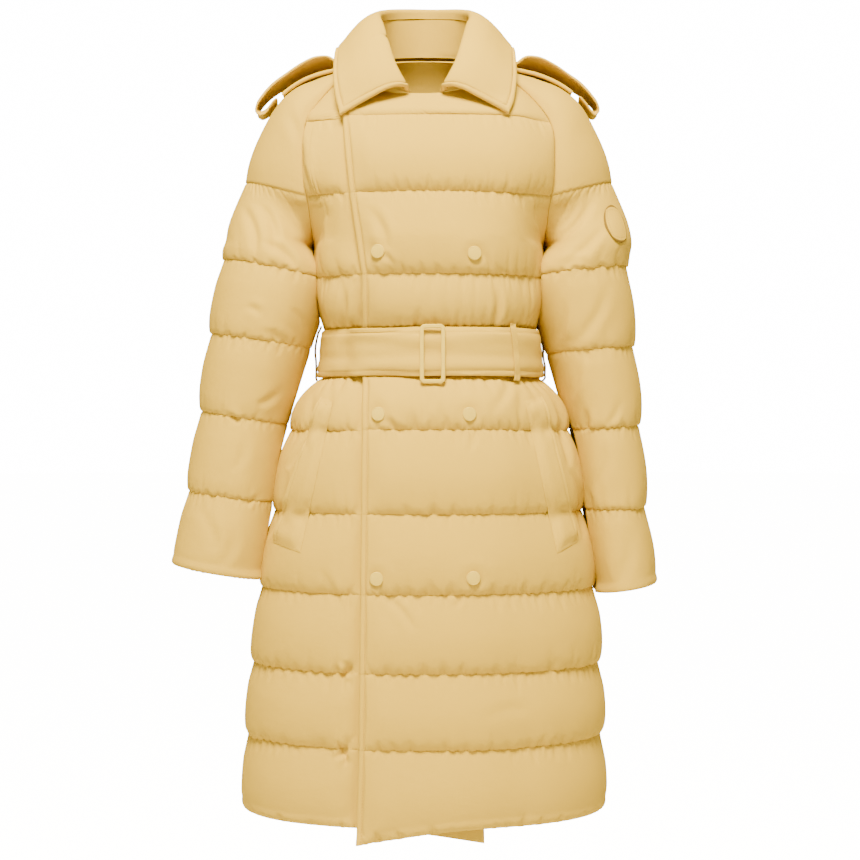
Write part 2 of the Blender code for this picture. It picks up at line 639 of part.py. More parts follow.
def wall(name, outer, inner, finish, closed_from=None):
    """A closed wall between two grids. From row closed_from on, the first and last columns meet."""
    rows, columns = outer.shape[:2]
    index = np.arange(rows * columns).reshape(rows, columns)
    if closed_from is not None:
        index[closed_from:, -1] = index[closed_from:, 0]
    faces, edges = [], {}
    for r in range(rows - 1):
        for c in range(columns - 1):
            loop = [index[r, c], index[r + 1, c], index[r + 1, c + 1], index[r, c + 1]]
            loop = [v for i, v in enumerate(loop) if v != loop[i - 1]]
            faces.append(loop)
            for a, b in zip(loop, loop[1:] + loop[:1]):
                edges[(a, b)] = True
    shift = rows * columns
    solid = [[int(v) for v in face] for face in faces]
    solid += [[int(v) + shift for v in reversed(face)] for face in faces]
    for a, b in edges:
        if (b, a) not in edges:
            solid.append([int(b), int(a), int(a) + shift, int(b) + shift])
    vertices = np.concatenate([outer.reshape(-1, 3), inner.reshape(-1, 3)])
    used = sorted({v for face in solid for v in face})
    renumber = {v: i for i, v in enumerate(used)}
    solid = [[renumber[v] for v in face] for face in solid]
    return add_object(name, vertices[used], solid, finish)


def tree_of(objects):
    """The outsides of several objects, to lay other pieces on."""
    vertices, faces = [], []
    for made in objects:
        start = len(vertices)
        vertices += [v.co.copy() for v in made.data.vertices]
        faces += [[start + v for v in face.vertices] for face in made.data.polygons]
    return BVHTree.FromPolygons(vertices, faces)


def front_hit(tree, x, z):
    """The place and normal of the outermost surface in front, at x and z."""
    place, normal, _, _ = tree.ray_cast(Vector((x, -1.0, z)), Vector((0, 1, 0)))
    return np.array(place), np.array(normal)


def outside_hit(tree, x, y, z, middle):
    """The place and normal of the outermost surface, seen level towards the body's middle."""
    towards = Vector((middle - x, -y, 0)).normalized()
    place, normal, _, _ = tree.ray_cast(Vector((x, y, z)) - towards * 0.15, towards)
    return np.array(place), np.array(normal)


def lay_on(points, tree, clearance):
    """Moves the points that are too near what lies under them out to the clearance."""
    flat = points.reshape(-1, 3)
    for i, point in enumerate(flat):
        for _ in range(3):
            place, normal, _, _ = tree.find_nearest(Vector(point))
            normal = np.array(normal)
            short = clearance - float(np.dot(point - np.array(place), normal))
            if not 0 < short < LAY_REACH:
                break
            point = point + normal * short
        flat[i] = point
    return flat.reshape(points.shape)


def sheet_wall(name, base, below, above, finish, closed_from=None):
    """A wall round a middle grid, below on its inner side and above on its outer side."""
    normals = shared_normals([base])[0]
    return wall(name, base + normals * above, base - normals * below, finish, closed_from)


def panels(cloth):
    """Front, back and sleeve panels, swollen between their quilting lines."""
    rows = body_rows()
    pieces = {
        "front_over": front_over(rows),
        "front_under": front_under(rows),
        "back": back_panel(rows),
        "sleeve_left": sleeve(1),
        "sleeve_right": sleeve(-1),
    }
    ordered = [
        points[:, ::-1] if name == "sleeve_right" else points
        for name, (points, _, _) in pieces.items()
    ]
    normals = dict(zip(pieces, shared_normals(ordered)))
    normals["sleeve_right"] = normals["sleeve_right"][:, ::-1]
    if float(np.dot(normals["back"][10, 8], (0, 1, 0))) < 0:
        normals = {name: -normal for name, normal in normals.items()}
    made = {}
    for name, (points, lift, puffs) in pieces.items():
        normal = normals[name]
        level = points + normal * lift[..., None]
        outer = level + normal * puffs[..., None]
        inner = level - normal * WALL
        closed = UNDERARM if name.startswith("sleeve") else None
        if closed is None:
            outer, inner = draw_in(outer), draw_in(inner)
        else:
            outer[:closed + 1] = draw_in(outer, amount=SLEEVE_DRAW)[:closed + 1]
            inner[:closed + 1] = draw_in(inner, amount=SLEEVE_DRAW)[:closed + 1]
            for grid in (outer, inner):
                joined = (grid[closed, 0] + grid[closed, -1]) / 2
                joined[0] += math.copysign(UNDERARM_DRAW, joined[0])
                grid[closed, 0] = grid[closed, -1] = joined
        made[name] = wall(name, outer, inner, cloth, closed)
    return made


def neck_line():
    """The neck seam from the front middle, over the wearer's left shoulder, to the back middle."""
    rows = body_rows()
    front = [neck_point(rows[0], share) for share in np.linspace(0.0, 1.0, 12)]
    over = arch(0, np.linspace(0.0, 1.0, 12))
    back = [row_point(rows[0], share, 1) for share in np.linspace(1.0, 0.0, 12)]
    return np.array(front + [tuple(p) for p in over[1:]] + back[1:])


def at_length(line, lengths):
    """Points of a line at the given shares of its length."""
    steps = np.linalg.norm(np.diff(line, axis=0), axis=1)
    places = np.concatenate([[0], np.cumsum(steps)]) / steps.sum()
    return np.stack([np.interp(lengths, places, line[:, axis]) for axis in range(3)], axis=-1)


def mirrored(half):
    """A line of stations from one end to the middle of the back, and on to the other end."""
    other = half[:-1][::-1] * np.array([-1, 1, 1])
    return np.concatenate([half, other])


def collar(cloth, tree):
    """The stand, sewn into the neck seam, and the leaf that rolls over it and lies on the coat."""
    stations = np.linspace(0.0, 1.0, COLLAR_STATIONS)
    places = np.concatenate([COLLAR["share"], 2 - COLLAR["share"][-2::-1]])
    curves = {}
    for name in COLLAR:
        far_half = COLLAR[name][-2::-1] * (-1 if name.endswith("_x") else 1)
        curves[name] = along(np.concatenate([COLLAR[name], far_half]), places, stations)
    roll = np.stack([curves["roll_x"], curves["roll_y"], curves["roll_z"]], axis=-1)
    edge = np.stack([curves["edge_x"], curves["edge_y"], curves["edge_z"]], axis=-1)
    line = neck_line()
    start = float(np.interp(COLLAR_START_X, line[:12, 0], np.arange(12))) / (len(line) - 1)
    seam = at_length(line, start + (1 - start) * stations)
    seam[:, 2] += STAND_RAISE * (1 - smooth_step(stations, 0.15, 0.40))
    up = roll - seam
    height = np.linalg.norm(up, axis=1)[:, None]
    seam = seam + up / height * STAND_FOOT
    joint = roll - up / height * np.minimum(ROLL_DEPTH, ROLL_SHARE * height)
    stand_rows = [seam + (joint - seam) * t for t in (0.0, 0.5, 1.0)]
    leaf = edge - roll
    outward = roll * np.array([1, 1, 0])
    outward /= np.linalg.norm(outward, axis=1)[:, None]
    leaf_rows = [joint + (roll - joint) * LEAF_START, roll]
    for share, rise in zip(LEAF["share"], LEAF["rise"]):
        leaf_rows.append(roll + leaf * share + (outward + np.array([0, 0, 1])) * rise)
    stand = np.array([mirrored(row) for row in stand_rows])
    leaf_grid = np.array([mirrored(row) for row in leaf_rows])
    leaf_grid[3:] = lay_on(leaf_grid[3:], tree, COLLAR_HALF + COLLAR_CLEARANCE)
    sheet_wall("collar_stand", stand, STAND_HALF, STAND_HALF, cloth)
    sheet_wall("collar", leaf_grid, COLLAR_HALF, COLLAR_HALF, cloth)


def waist_point(turn, z):
    """The body's seam-level section at a height. turn is 0 in front and grows to the left."""
    middle, half, front, back = section(z)
    depth = front if math.cos(turn) > 0 else back
    x = math.copysign(half * abs(math.sin(turn)) ** (2 / SQUARE), math.sin(turn))
    y = -math.copysign(depth * abs(math.cos(turn)) ** (2 / SQUARE), math.cos(turn))
    return middle + x, y, z


def turn_at(x, z):
    """The turn at which the front of the waist is at x."""
    middle, half, _, _ = section(z)
    return math.copysign(math.asin((abs(x - middle) / half) ** (SQUARE / 2)), x - middle)


def belt_row(tree, turns, z):
    """Points round the waist at a height, on the outermost cloth, bridging its steps and dents."""
    middle = section(z)[0]
    fine = np.linspace(turns[0], turns[-1], (len(turns) - 1) * BELT_FEELERS + 1)
    waist = np.array([waist_point(turn, z) for turn in fine])
    outward = waist - np.array([middle, 0.0, z])
    outward /= np.linalg.norm(outward, axis=1)[:, None]
    hits = np.array([outside_hit(tree, *point, middle)[0] for point in waist])
    out = ((hits - waist) * outward).sum(axis=1)
    reach = np.arange(len(fine))
    bridged = np.array([out[abs(reach - i) <= BELT_FEELERS].max() for i in reach])
    points = waist + outward * (bridged + BELT_HALF + BELT_CLEARANCE)[:, None]
    return points[::BELT_FEELERS]


def belt(cloth, tree):
    """A strip round the waist. Its tip passes through the buckle and lies on its own start."""
    middle_z = (BELT_TOP + BELT_BOTTOM) / 2
    start = turn_at(BUCKLE_X, middle_z)
    end = 2 * math.pi + turn_at(BELT_TIP_X, middle_z)
    turns = np.linspace(start, end, BELT_COLUMNS)
    heights = np.linspace(BELT_TOP, BELT_BOTTOM, BELT_ROWS)
    base = np.array([belt_row(tree, turns, z) for z in heights])
    overlap = smooth_step(turns - 2 * math.pi, start - BELT_LAP[0], start - BELT_LAP[1])
    normals = shared_normals([base])[0]
    if normals[0, 0, 1] > 0:
        normals = -normals
    base = base + normals * (overlap * (2 * BELT_HALF + BELT_LAP_GAP))[:, None]
    return sheet_wall("belt", base, BELT_HALF, BELT_HALF, cloth)


def rounded_frame(width, height, corner, steps=4):
    """Points round a rectangle with round corners, in its plane."""
    points = []
    for number, (sx, sz) in enumerate(((1, 1), (-1, 1), (-1, -1), (1, -1))):
        for i in range(steps + 1):
            angle = math.pi / 2 * (number + i / steps)
            x = sx * (width / 2 - corner) + corner * math.cos(angle)
            z = sz * (height / 2 - corner) + corner * math.sin(angle)
            points.append((x, z))
    return np.array(points)


def loop_solid(name, loops, finish):
    """A closed ring of quads: each loop is one section of it, and the last joins the first."""
    count, sides = len(loops), len(loops[0])
    faces = []
    for i in range(count):
        for j in range(sides):
            a, b = i * sides, ((i + 1) % count) * sides
            faces.append([a + j, a + (j + 1) % sides, b + (j + 1) % sides, b + j])
    return add_object(name, np.concatenate(loops), faces, finish)


def buckle(finish, tree):
    """A plain rectangular frame on the belt, its window open."""
    across, up = BUCKLE_SIZE
    bar, depth = BUCKLE_BAR
    corners = [(x, z) for x in (-0.5, 0.0, 0.5) for z in (-0.5, -0.45, -0.2, 0.0, 0.2, 0.45, 0.5)]
    hits = [front_hit(tree, BUCKLE_X + x * across, BUCKLE_Z + z * up)[0] for x, z in corners]
    back_y = min(place[1] for place in hits) - BUCKLE_GAP
    outline = rounded_frame(across, up, BUCKLE_CORNER)
    window = rounded_frame(across - 2 * bar, up - 2 * bar, BUCKLE_CORNER - bar + 0.0015)
    loops = []
    shares, rises = BUCKLE_PROFILE["across"], BUCKLE_PROFILE["rise"]
    for outer, inner in zip(outline, window):
        x = BUCKLE_X + outer[0] + (inner[0] - outer[0]) * shares
        z = BUCKLE_Z + outer[1] + (inner[1] - outer[1]) * shares
        loops.append(np.stack([x, back_y - depth * rises, z], axis=-1))
    return loop_solid("belt_buckle", loops, finish)


def keeper(cloth, tree):
    """A narrow loop of cloth across the belt, sewn to the coat above and below it."""
    where = np.linspace(0.0, 1.0, KEEPER_POINTS)
    places = np.linspace(0.0, 1.0, len(KEEPER["x"]))
    line_x, line_z = (along(KEEPER[name], places, where) for name in ("x", "z"))
    base = []
    for side in (-0.5, 0.0, 0.5):
        row = []
        for x, z in zip(line_x + side * KEEPER_WIDTH, line_z):
            out = min(front_hit(tree, x, z + dz)[0][1] for dz in KEEPER_FEELERS)
            row.append((x, out - KEEPER_HALF - KEEPER_CLEARANCE, z))
        base.append(row)
    base = lay_on(np.array(base), tree, KEEPER_HALF + KEEPER_CLEARANCE)
    return sheet_wall("belt_keeper", base, KEEPER_HALF, KEEPER_HALF, cloth)


def strap(name, side, path, cloth, tree, clearance):
    """A shoulder strap: a strip along a path out from the neck, laid on the sleeve."""
    shift = YOKE["shift"][2]
    across = np.linspace(-0.5, 0.5, STRAP_ACROSS)
    base = np.zeros((len(path["x"]), STRAP_ACROSS, 3))
    for i, (x, z, width, fall) in enumerate(zip(*path.values())):
        for j, share in enumerate(across):
            drop = STRAP_CROWN * (2 * share) ** 2 + fall * (share + 0.5)
            base[i, j] = (side * x + shift, STRAP_Y + share * width, z - drop)
    end = int(np.argmax(path["x"]))
    laid = end - 1 if end < len(base) - 1 else len(base)
    for point in base[:laid].reshape(-1, 3):
        place, normal, _, _ = tree.ray_cast(Vector((point[0], point[1], 1.0)), Vector((0, 0, -1)))
        point[2] = max(point[2], place.z + clearance / max(normal.z, 0.5))
    base = lay_on(base, tree, clearance)
    return sheet_wall(name, base, STRAP_HALF, STRAP_HALF, cloth)


def welt(row, cloth, tree):
    """A pocket's welt: a strip slanting down the front, laid on the swollen panel."""
    down, across = WELT_GRID
    side = row["side"]
    base = np.zeros((down, across, 3))
    for i, t in enumerate(np.linspace(0.0, 1.0, down)):
        for j, share in enumerate(np.linspace(0.0, 1.0, across)):
            top_x = row["top_in_x"] + (row["top_out_x"] - row["top_in_x"]) * share
            top_z = row["top_in_z"] + (row["top_out_z"] - row["top_in_z"]) * share
            low_x = row["low_in_x"] + (row["low_out_x"] - row["low_in_x"]) * share
            low_z = row["low_in_z"] + (row["low_out_z"] - row["low_in_z"]) * share
            x, z = top_x + (low_x - top_x) * t, top_z + (low_z - top_z) * t
            hits = [front_hit(tree, side * x + dx, z + dz) for dx, dz in WELT_FEELERS]
            out = min(place[1] for place, _ in hits)
            place, normal = hits[0]
            base[i, j] = (place[0], out, place[2]) + normal * (WELT_HALF + WELT_CLEARANCE)
    base = lay_on(base, tree, WELT_HALF + WELT_CLEARANCE)
    name = "pocket_welt_left" if side > 0 else "pocket_welt_right"
    return sheet_wall(name, base, WELT_HALF, WELT_HALF, cloth)


def snap(name, x, z, finish, tree):
    """A domed press stud cap."""
    place, normal = front_hit(tree, x, z)
    normal = Vector(normal).normalized()
    turn = normal.to_track_quat("Z", "Y").to_matrix()
    vertices, faces = [], []
    for radius, height in zip(SNAP_PROFILE["radius"], SNAP_PROFILE["height"]):
        for i in range(SNAP_SIDES):
            angle = 2 * math.pi * i / SNAP_SIDES
            local = Vector((radius * math.cos(angle), radius * math.sin(angle), height))
            vertices.append(Vector(place) + turn @ local + normal * SNAP_GAP)
    rings = len(SNAP_PROFILE["radius"])
    for r in range(rings - 1):
        for i in range(SNAP_SIDES):
            a, b = r * SNAP_SIDES, (r + 1) * SNAP_SIDES
            j = (i + 1) % SNAP_SIDES
            faces.append([a + i, a + j, b + j, b + i])
    faces.append(list(range(SNAP_SIDES))[::-1])
    faces.append([(rings - 1) * SNAP_SIDES + i for i in range(SNAP_SIDES)])
    return add_object(name, vertices, faces, finish)


def patch(cloth, tree):
    """A plain oval patch on the wearer's left upper sleeve."""
    middle_x, middle_z = PATCH_MIDDLE
    base = np.zeros((PATCH_COLUMNS, PATCH_COLUMNS, 3))
    for i, v in enumerate(np.linspace(-1, 1, PATCH_COLUMNS)):
        for j, u in enumerate(np.linspace(-1, 1, PATCH_COLUMNS)):
            round_u, round_v = u * math.sqrt(1 - v * v / 2), v * math.sqrt(1 - u * u / 2)
            turn = PATCH_TURN + round_u * PATCH_SIZE[0] / 2 / SLEEVE_RADIUS
            z = middle_z - round_v * PATCH_SIZE[1] / 2
            direction = Vector((-math.sin(turn), math.cos(turn), 0))
            start = Vector((middle_x, 0.0, z)) - direction * 0.3
            place, normal, _, _ = tree.ray_cast(start, direction)
            base[i, j] = np.array(place) + np.array(normal) * (PATCH_HALF + PATCH_CLEARANCE)
    base = lay_on(base, tree, PATCH_HALF + PATCH_CLEARANCE)
    return sheet_wall("sleeve_patch", base, PATCH_HALF, PATCH_HALF, cloth)


def thread_loop(side, finish, tree):
    """A thin thread loop at the side seam, round the belt."""
    name = "thread_loop_left" if side > 0 else "thread_loop_right"
    where = np.linspace(0.0, 1.0, LOOP_POINTS)
    places = np.linspace(0.0, 1.0, len(LOOP["z"]))
    outs, heights = (along(LOOP[column], places, where) for column in ("out", "z"))
    curve = bpy.data.curves.new(name, "CURVE")
    curve.dimensions = "3D"
    curve.bevel_depth = LOOP_RADIUS
    curve.bevel_resolution = 1
    curve.use_fill_caps = True
    spline = curve.splines.new("POLY")
    spline.points.add(len(where) - 1)
    for point, out, z in zip(spline.points, outs, heights):
        middle, half, _, _ = section(z)
        x = middle + side * half
        hits = [outside_hit(tree, x, LOOP_Y, z + dz, middle)[0] for dz in LOOP_FEELERS]
        seat = max(abs(place[0] - middle) for place in hits)
        reach = max(half + out * LOOP_REACH[side], seat) + LOOP_RADIUS + LOOP_GAP
        point.co = (middle + side * reach, LOOP_Y, z, 1)
    curve.materials.append(finish)
    made = bpy.data.objects.new(name, curve)
    bpy.context.scene.collection.objects.link(made)
    return made


def main():
    for old in list(bpy.data.objects):
        bpy.data.objects.remove(old, do_unlink=True)
    cloth = material("coat_cloth", CLOTH, 0.62)
    trim = material("trim", TRIM, 0.45)
    thread = material("thread", TRIM, 0.8)
    made = panels(cloth)
    shell = tree_of(made.values())
    collar(cloth, shell)
    strip = belt(cloth, tree_of([made["front_over"], made["front_under"], made["back"]]))
    body = tree_of([strip, made["front_over"], made["front_under"], made["back"]])
    buckle(trim, body)
    keeper(cloth, body)
    sleeves = tree_of([made["sleeve_left"], made["sleeve_right"]])
    for side, word in ((1, "left"), (-1, "right")):
        strap(f"shoulder_strap_{word}", side, UPPER_STRAP, cloth, sleeves, UPPER_STRAP_CLEARANCE)
        strap(f"strap_keeper_{word}", side, LOWER_STRAP, cloth, sleeves, LOWER_STRAP_CLEARANCE)
        thread_loop(side, thread, body)
    fronts = tree_of([made["front_over"], made["front_under"]])
    for i in range(len(WELT["side"])):
        welt({name: WELT[name][i] for name in WELT}, cloth, fronts)
    for column, level, x, z in zip(*(SNAPS[name] for name in ("column", "level", "x", "z"))):
        snap(f"snap_{'ab'[int(column) - 1]}{int(level)}", x, z, trim, fronts)
    patch(cloth, sleeves)


main()
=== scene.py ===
"""A long double-breasted down coat with a belt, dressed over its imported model.

Metres, +Z up. The front faces -Y, and the wearer's left is +X.
"""
import math
from collections import namedtuple

import bpy
import numpy as np
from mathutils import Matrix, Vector
from mathutils.bvhtree import BVHTree


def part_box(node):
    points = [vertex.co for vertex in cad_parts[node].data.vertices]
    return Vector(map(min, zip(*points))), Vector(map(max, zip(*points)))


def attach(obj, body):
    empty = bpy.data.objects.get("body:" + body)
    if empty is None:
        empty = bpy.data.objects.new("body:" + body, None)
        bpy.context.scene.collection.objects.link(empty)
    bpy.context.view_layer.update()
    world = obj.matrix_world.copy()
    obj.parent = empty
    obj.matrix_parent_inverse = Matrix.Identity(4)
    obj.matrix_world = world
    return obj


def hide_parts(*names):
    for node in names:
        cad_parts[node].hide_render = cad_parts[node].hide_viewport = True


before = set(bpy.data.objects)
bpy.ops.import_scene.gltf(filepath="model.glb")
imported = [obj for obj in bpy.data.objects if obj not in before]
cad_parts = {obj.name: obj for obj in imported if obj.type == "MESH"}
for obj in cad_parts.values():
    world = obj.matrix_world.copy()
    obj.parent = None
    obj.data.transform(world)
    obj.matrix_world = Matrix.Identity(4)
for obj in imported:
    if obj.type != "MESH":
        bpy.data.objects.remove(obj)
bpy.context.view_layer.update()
bpy.ops.object.select_all(action="DESELECT")


# ---- The stage -------------------------------------------------------------------------------
# A white studio: a camera level with the coat's hips, a wide soft light above and in front of
# it, a weaker one from each side, and a pale floor where the wearer's feet would stand.

CAMERA_PLACE = (0.0, -2.5, -0.4695)
CAMERA_LENS = 78.7
CAMERA_SHIFT = (5 / 860, -15 / 860)
LIGHTS = {  # place, what it is aimed at, width and power
    "light_above": ((-0.15, -1.8, 2.0), (0, 0, -0.4), 1.2, 392),
    "light_left": ((-2.6, -2.4, 0.3), (0, 0, -0.5), 1.8, 20),
    "light_right": ((2.8, -2.2, 0.2), (0, 0, -0.5), 1.8, 8),
}
LAMP_TINT = (1.0, 0.805, 0.217)  # warm lamps
WHITE = (1.0, 1.0, 1.0, 1.0)
STUDIO_GLOW = 0.56  # the white walls light the coat from all round
BACKDROP_GLOW = 16.0  # and are burnt out where the camera sees them
FLOOR_Z = -1.45
FLOOR_RADIUS = 30
FLOOR_GREY = 0.93
FLOOR_ROUGHNESS = 0.9
FLOOR_GLOW = 15.0


def put_in(made):
    """Puts a new object into the scene."""
    bpy.context.scene.collection.objects.link(made)
    return made


def feed(tree, socket, value):
    """Links an input to a socket, or gives it a value."""
    if isinstance(value, bpy.types.NodeSocket):
        tree.links.new(value, socket)
    elif value is not None:
        socket.default_value = value


def feed_all(tree, node, **inputs):
    for name, value in inputs.items():
        feed(tree, node.inputs[name.replace("_", " ")], value)
    return node


def add_node(tree, kind, place, settings=(), **inputs):
    """A shader node at a place in its tree, with its settings and then its inputs filled in."""
    made = tree.nodes.new("ShaderNode" + kind)
    made.location = place
    for name, value in dict(settings).items():
        setattr(made, name, value)
    return feed_all(tree, made, **inputs)


def math_node(tree, operation, place, first, second=None):
    """The result of a Math node whose inputs are sockets or numbers."""
    made = add_node(tree, "Math", place, {"operation": operation})
    for socket, value in zip(made.inputs, (first, second)):
        feed(tree, socket, value)
    return made.outputs[0]


def mix_colours(tree, place, factor, first, second):
    made = add_node(tree, "Mix", place, {"data_type": "RGBA"}, A=first, B=second, Factor=factor)
    return made.outputs["Result"]


def new_finish(name, **inputs):
    """A material with its node tree and its shader, which has the given inputs."""
    finish = bpy.data.materials.new(name)
    finish.use_nodes = True
    tree = finish.node_tree
    return finish, tree, feed_all(tree, tree.nodes["Principled BSDF"], **inputs)


camera = put_in(bpy.data.objects.new("camera", bpy.data.cameras.new("camera")))
camera.data.lens = CAMERA_LENS
camera.data.shift_x, camera.data.shift_y = CAMERA_SHIFT
camera.location = CAMERA_PLACE
camera.rotation_euler = (math.radians(90), 0, 0)
bpy.context.scene.camera = camera

for name, (place, aim, size, power) in LIGHTS.items():
    light = bpy.data.lights.new(name, "AREA")
    light.shape = "DISK"
    light.size = size
    light.energy = power
    light.color = LAMP_TINT
    lamp = put_in(bpy.data.objects.new(name, light))
    lamp.location = place
    lamp.rotation_euler = (Vector(aim) - Vector(place)).to_track_quat("-Z", "Y").to_euler()

world = bpy.data.worlds.new("studio")
bpy.context.scene.world = world
world.use_nodes = True
walls = world.node_tree
seen = add_node(walls, "LightPath", (-600, 200)).outputs["Is Camera Ray"]
glow = add_node(
    walls, "MapRange", (-300, 200), To_Min=STUDIO_GLOW, To_Max=BACKDROP_GLOW, Value=seen
)
tint = mix_colours(walls, (-300, -100), seen, (*LAMP_TINT, 1.0), WHITE)
feed_all(walls, walls.nodes["Background"], Strength=glow.outputs["Result"], Color=tint)

bpy.ops.mesh.primitive_circle_add(
    vertices=96, radius=FLOOR_RADIUS, fill_type="NGON", location=(0, 0, FLOOR_Z)
)
floor = bpy.context.object
floor.name = "floor"
floor_paint, floor_tree, floor_shader = new_finish(
    "floor_paint", Base_Color=(FLOOR_GREY, FLOOR_GREY, FLOOR_GREY, 1.0),
    Roughness=FLOOR_ROUGHNESS, Emission_Color=WHITE,
)
floor_seen = add_node(floor_tree, "LightPath", (-700, -200)).outputs["Is Camera Ray"]
floor_glow = math_node(floor_tree, "MULTIPLY", (-400, -200), floor_seen, FLOOR_GLOW)
feed_all(floor_tree, floor_shader, Emission_Strength=floor_glow)
floor.data.materials.append(floor_paint)
bpy.ops.object.select_all(action="DESELECT")


# ---- The shell cloth -------------------------------------------------------------------------
# A dense, matt khaki weave of nylon and cotton. Its yarns show as a fine grain, the colour is
# a little uneven, and every seam is sewn with thread of the same colour.

CLOTH_COLOUR = (0.60, 0.435, 0.120, 1.0)
CLOTH_DEEP = (0.54, 0.373, 0.083, 1.0)
THREAD_COLOUR = (0.40, 0.270, 0.080, 1.0)
CLOTH_ROUGHNESS = 0.66
CLOTH_SHINE = 0.06
SHEEN, SHEEN_ROUGHNESS, SHEEN_TINT = 0.03, 0.45, (1.0, 0.93, 0.78, 1.0)
UNEVENNESS = 0.35  # how much of the deeper colour its clouds mix in
CLOUD_SCALE = 14.0
SLUB_TONE = 0.22  # how much of it the thicker yarns mix in
SLUB_SCALES = ((260, 1500, 1), (1500, 260, 1))  # of the yarns that run up, and of those across
YARN = 0.0006  # pitch of the weave
YARN_HEIGHT = 0.25  # height of the single yarns beside that of the thicker ones
STITCH = 0.0034  # from one stitch to the next
STITCH_WIDTH = 0.00075
STITCH_LENGTH = 0.55  # 0 makes the stitches as long as the gaps, and more makes them longer
TOPSTITCH = 0.0066  # from a sewn edge to the line of stitches along it
CRUMPLE_SCALE = 95.0
# Strength and depth of the relief of the crumpled cloth, its weave and its stitches.
RELIEF = ((0.35, 0.0012), (0.30, 0.00025), (0.5, 0.0006))


def new_group(name, inputs, outputs):
    """A shader node group, the sockets that it is given and those that it puts out."""
    group = bpy.data.node_groups.new(name, "ShaderNodeTree")
    for label, kind in inputs.items():
        group.interface.new_socket(label, in_out="INPUT", socket_type="NodeSocket" + kind)
    for label in outputs:
        group.interface.new_socket(label, in_out="OUTPUT", socket_type="NodeSocketFloat")
    source, result = group.nodes.new("NodeGroupInput"), group.nodes.new("NodeGroupOutput")
    source.location, result.location = (-900, 0), (600, 0)
    return group, source.outputs, result.inputs


def woven_group():
    """Grain of the weave: its height, and a mask of lighter and darker yarns."""
    group, given, result = new_group("woven", {"Cloth Place": "Vector"}, ("Height", "Tone"))
    place = given["Cloth Place"]
    split = add_node(group, "SeparateXYZ", (-700, 200), Vector=place)
    ribs, slubs = [], []
    for axis, scale in enumerate(SLUB_SCALES):
        high, low = 200 - 160 * axis, -200 - 260 * axis
        pitch = 2 * math.pi / YARN
        turns = math_node(group, "MULTIPLY", (-500, high), split.outputs[axis], pitch)
        ribs.append(math_node(group, "SINE", (-340, high), turns))
        stretch = add_node(group, "Mapping", (-500, low), Vector=place, Scale=scale).outputs[0]
        noise = add_node(group, "TexNoise", (-300, low), Vector=stretch, Scale=1.0, Detail=2.0)
        slubs.append(noise.outputs["Fac"])
    weave = math_node(group, "MULTIPLY", (-160, 150), *ribs)
    slub = math_node(group, "ADD", (-100, -300), *slubs)
    fine = math_node(group, "MULTIPLY", (60, 150), weave, YARN_HEIGHT)
    feed(group, result["Height"], math_node(group, "ADD", (240, 60), fine, slub))
    feed(group, result["Tone"], slub)
    return group


def stitched_group():
    """A mask of the stitches along a line. Distance is from the line."""
    group, given, result = new_group(
        "stitched", {"Distance": "Float", "Along": "Float"}, ("Thread",)
    )
    near = math_node(group, "DIVIDE", (-500, 120), given["Distance"], STITCH_WIDTH)
    near = math_node(group, "ABSOLUTE", (-340, 120), near)
    near = math_node(group, "SUBTRACT", (-180, 120), 1.0, near)
    dash = math_node(group, "MULTIPLY", (-500, -120), given["Along"], 2 * math.pi / STITCH)
    dash = math_node(group, "SINE", (-340, -120), dash)
    dash = math_node(group, "ADD", (-180, -120), dash, STITCH_LENGTH)
    thread = math_node(group, "MULTIPLY", (60, 0), near, dash)
    dash.node.use_clamp = thread.node.use_clamp = True
    feed(group, result["Thread"], thread)
    return group


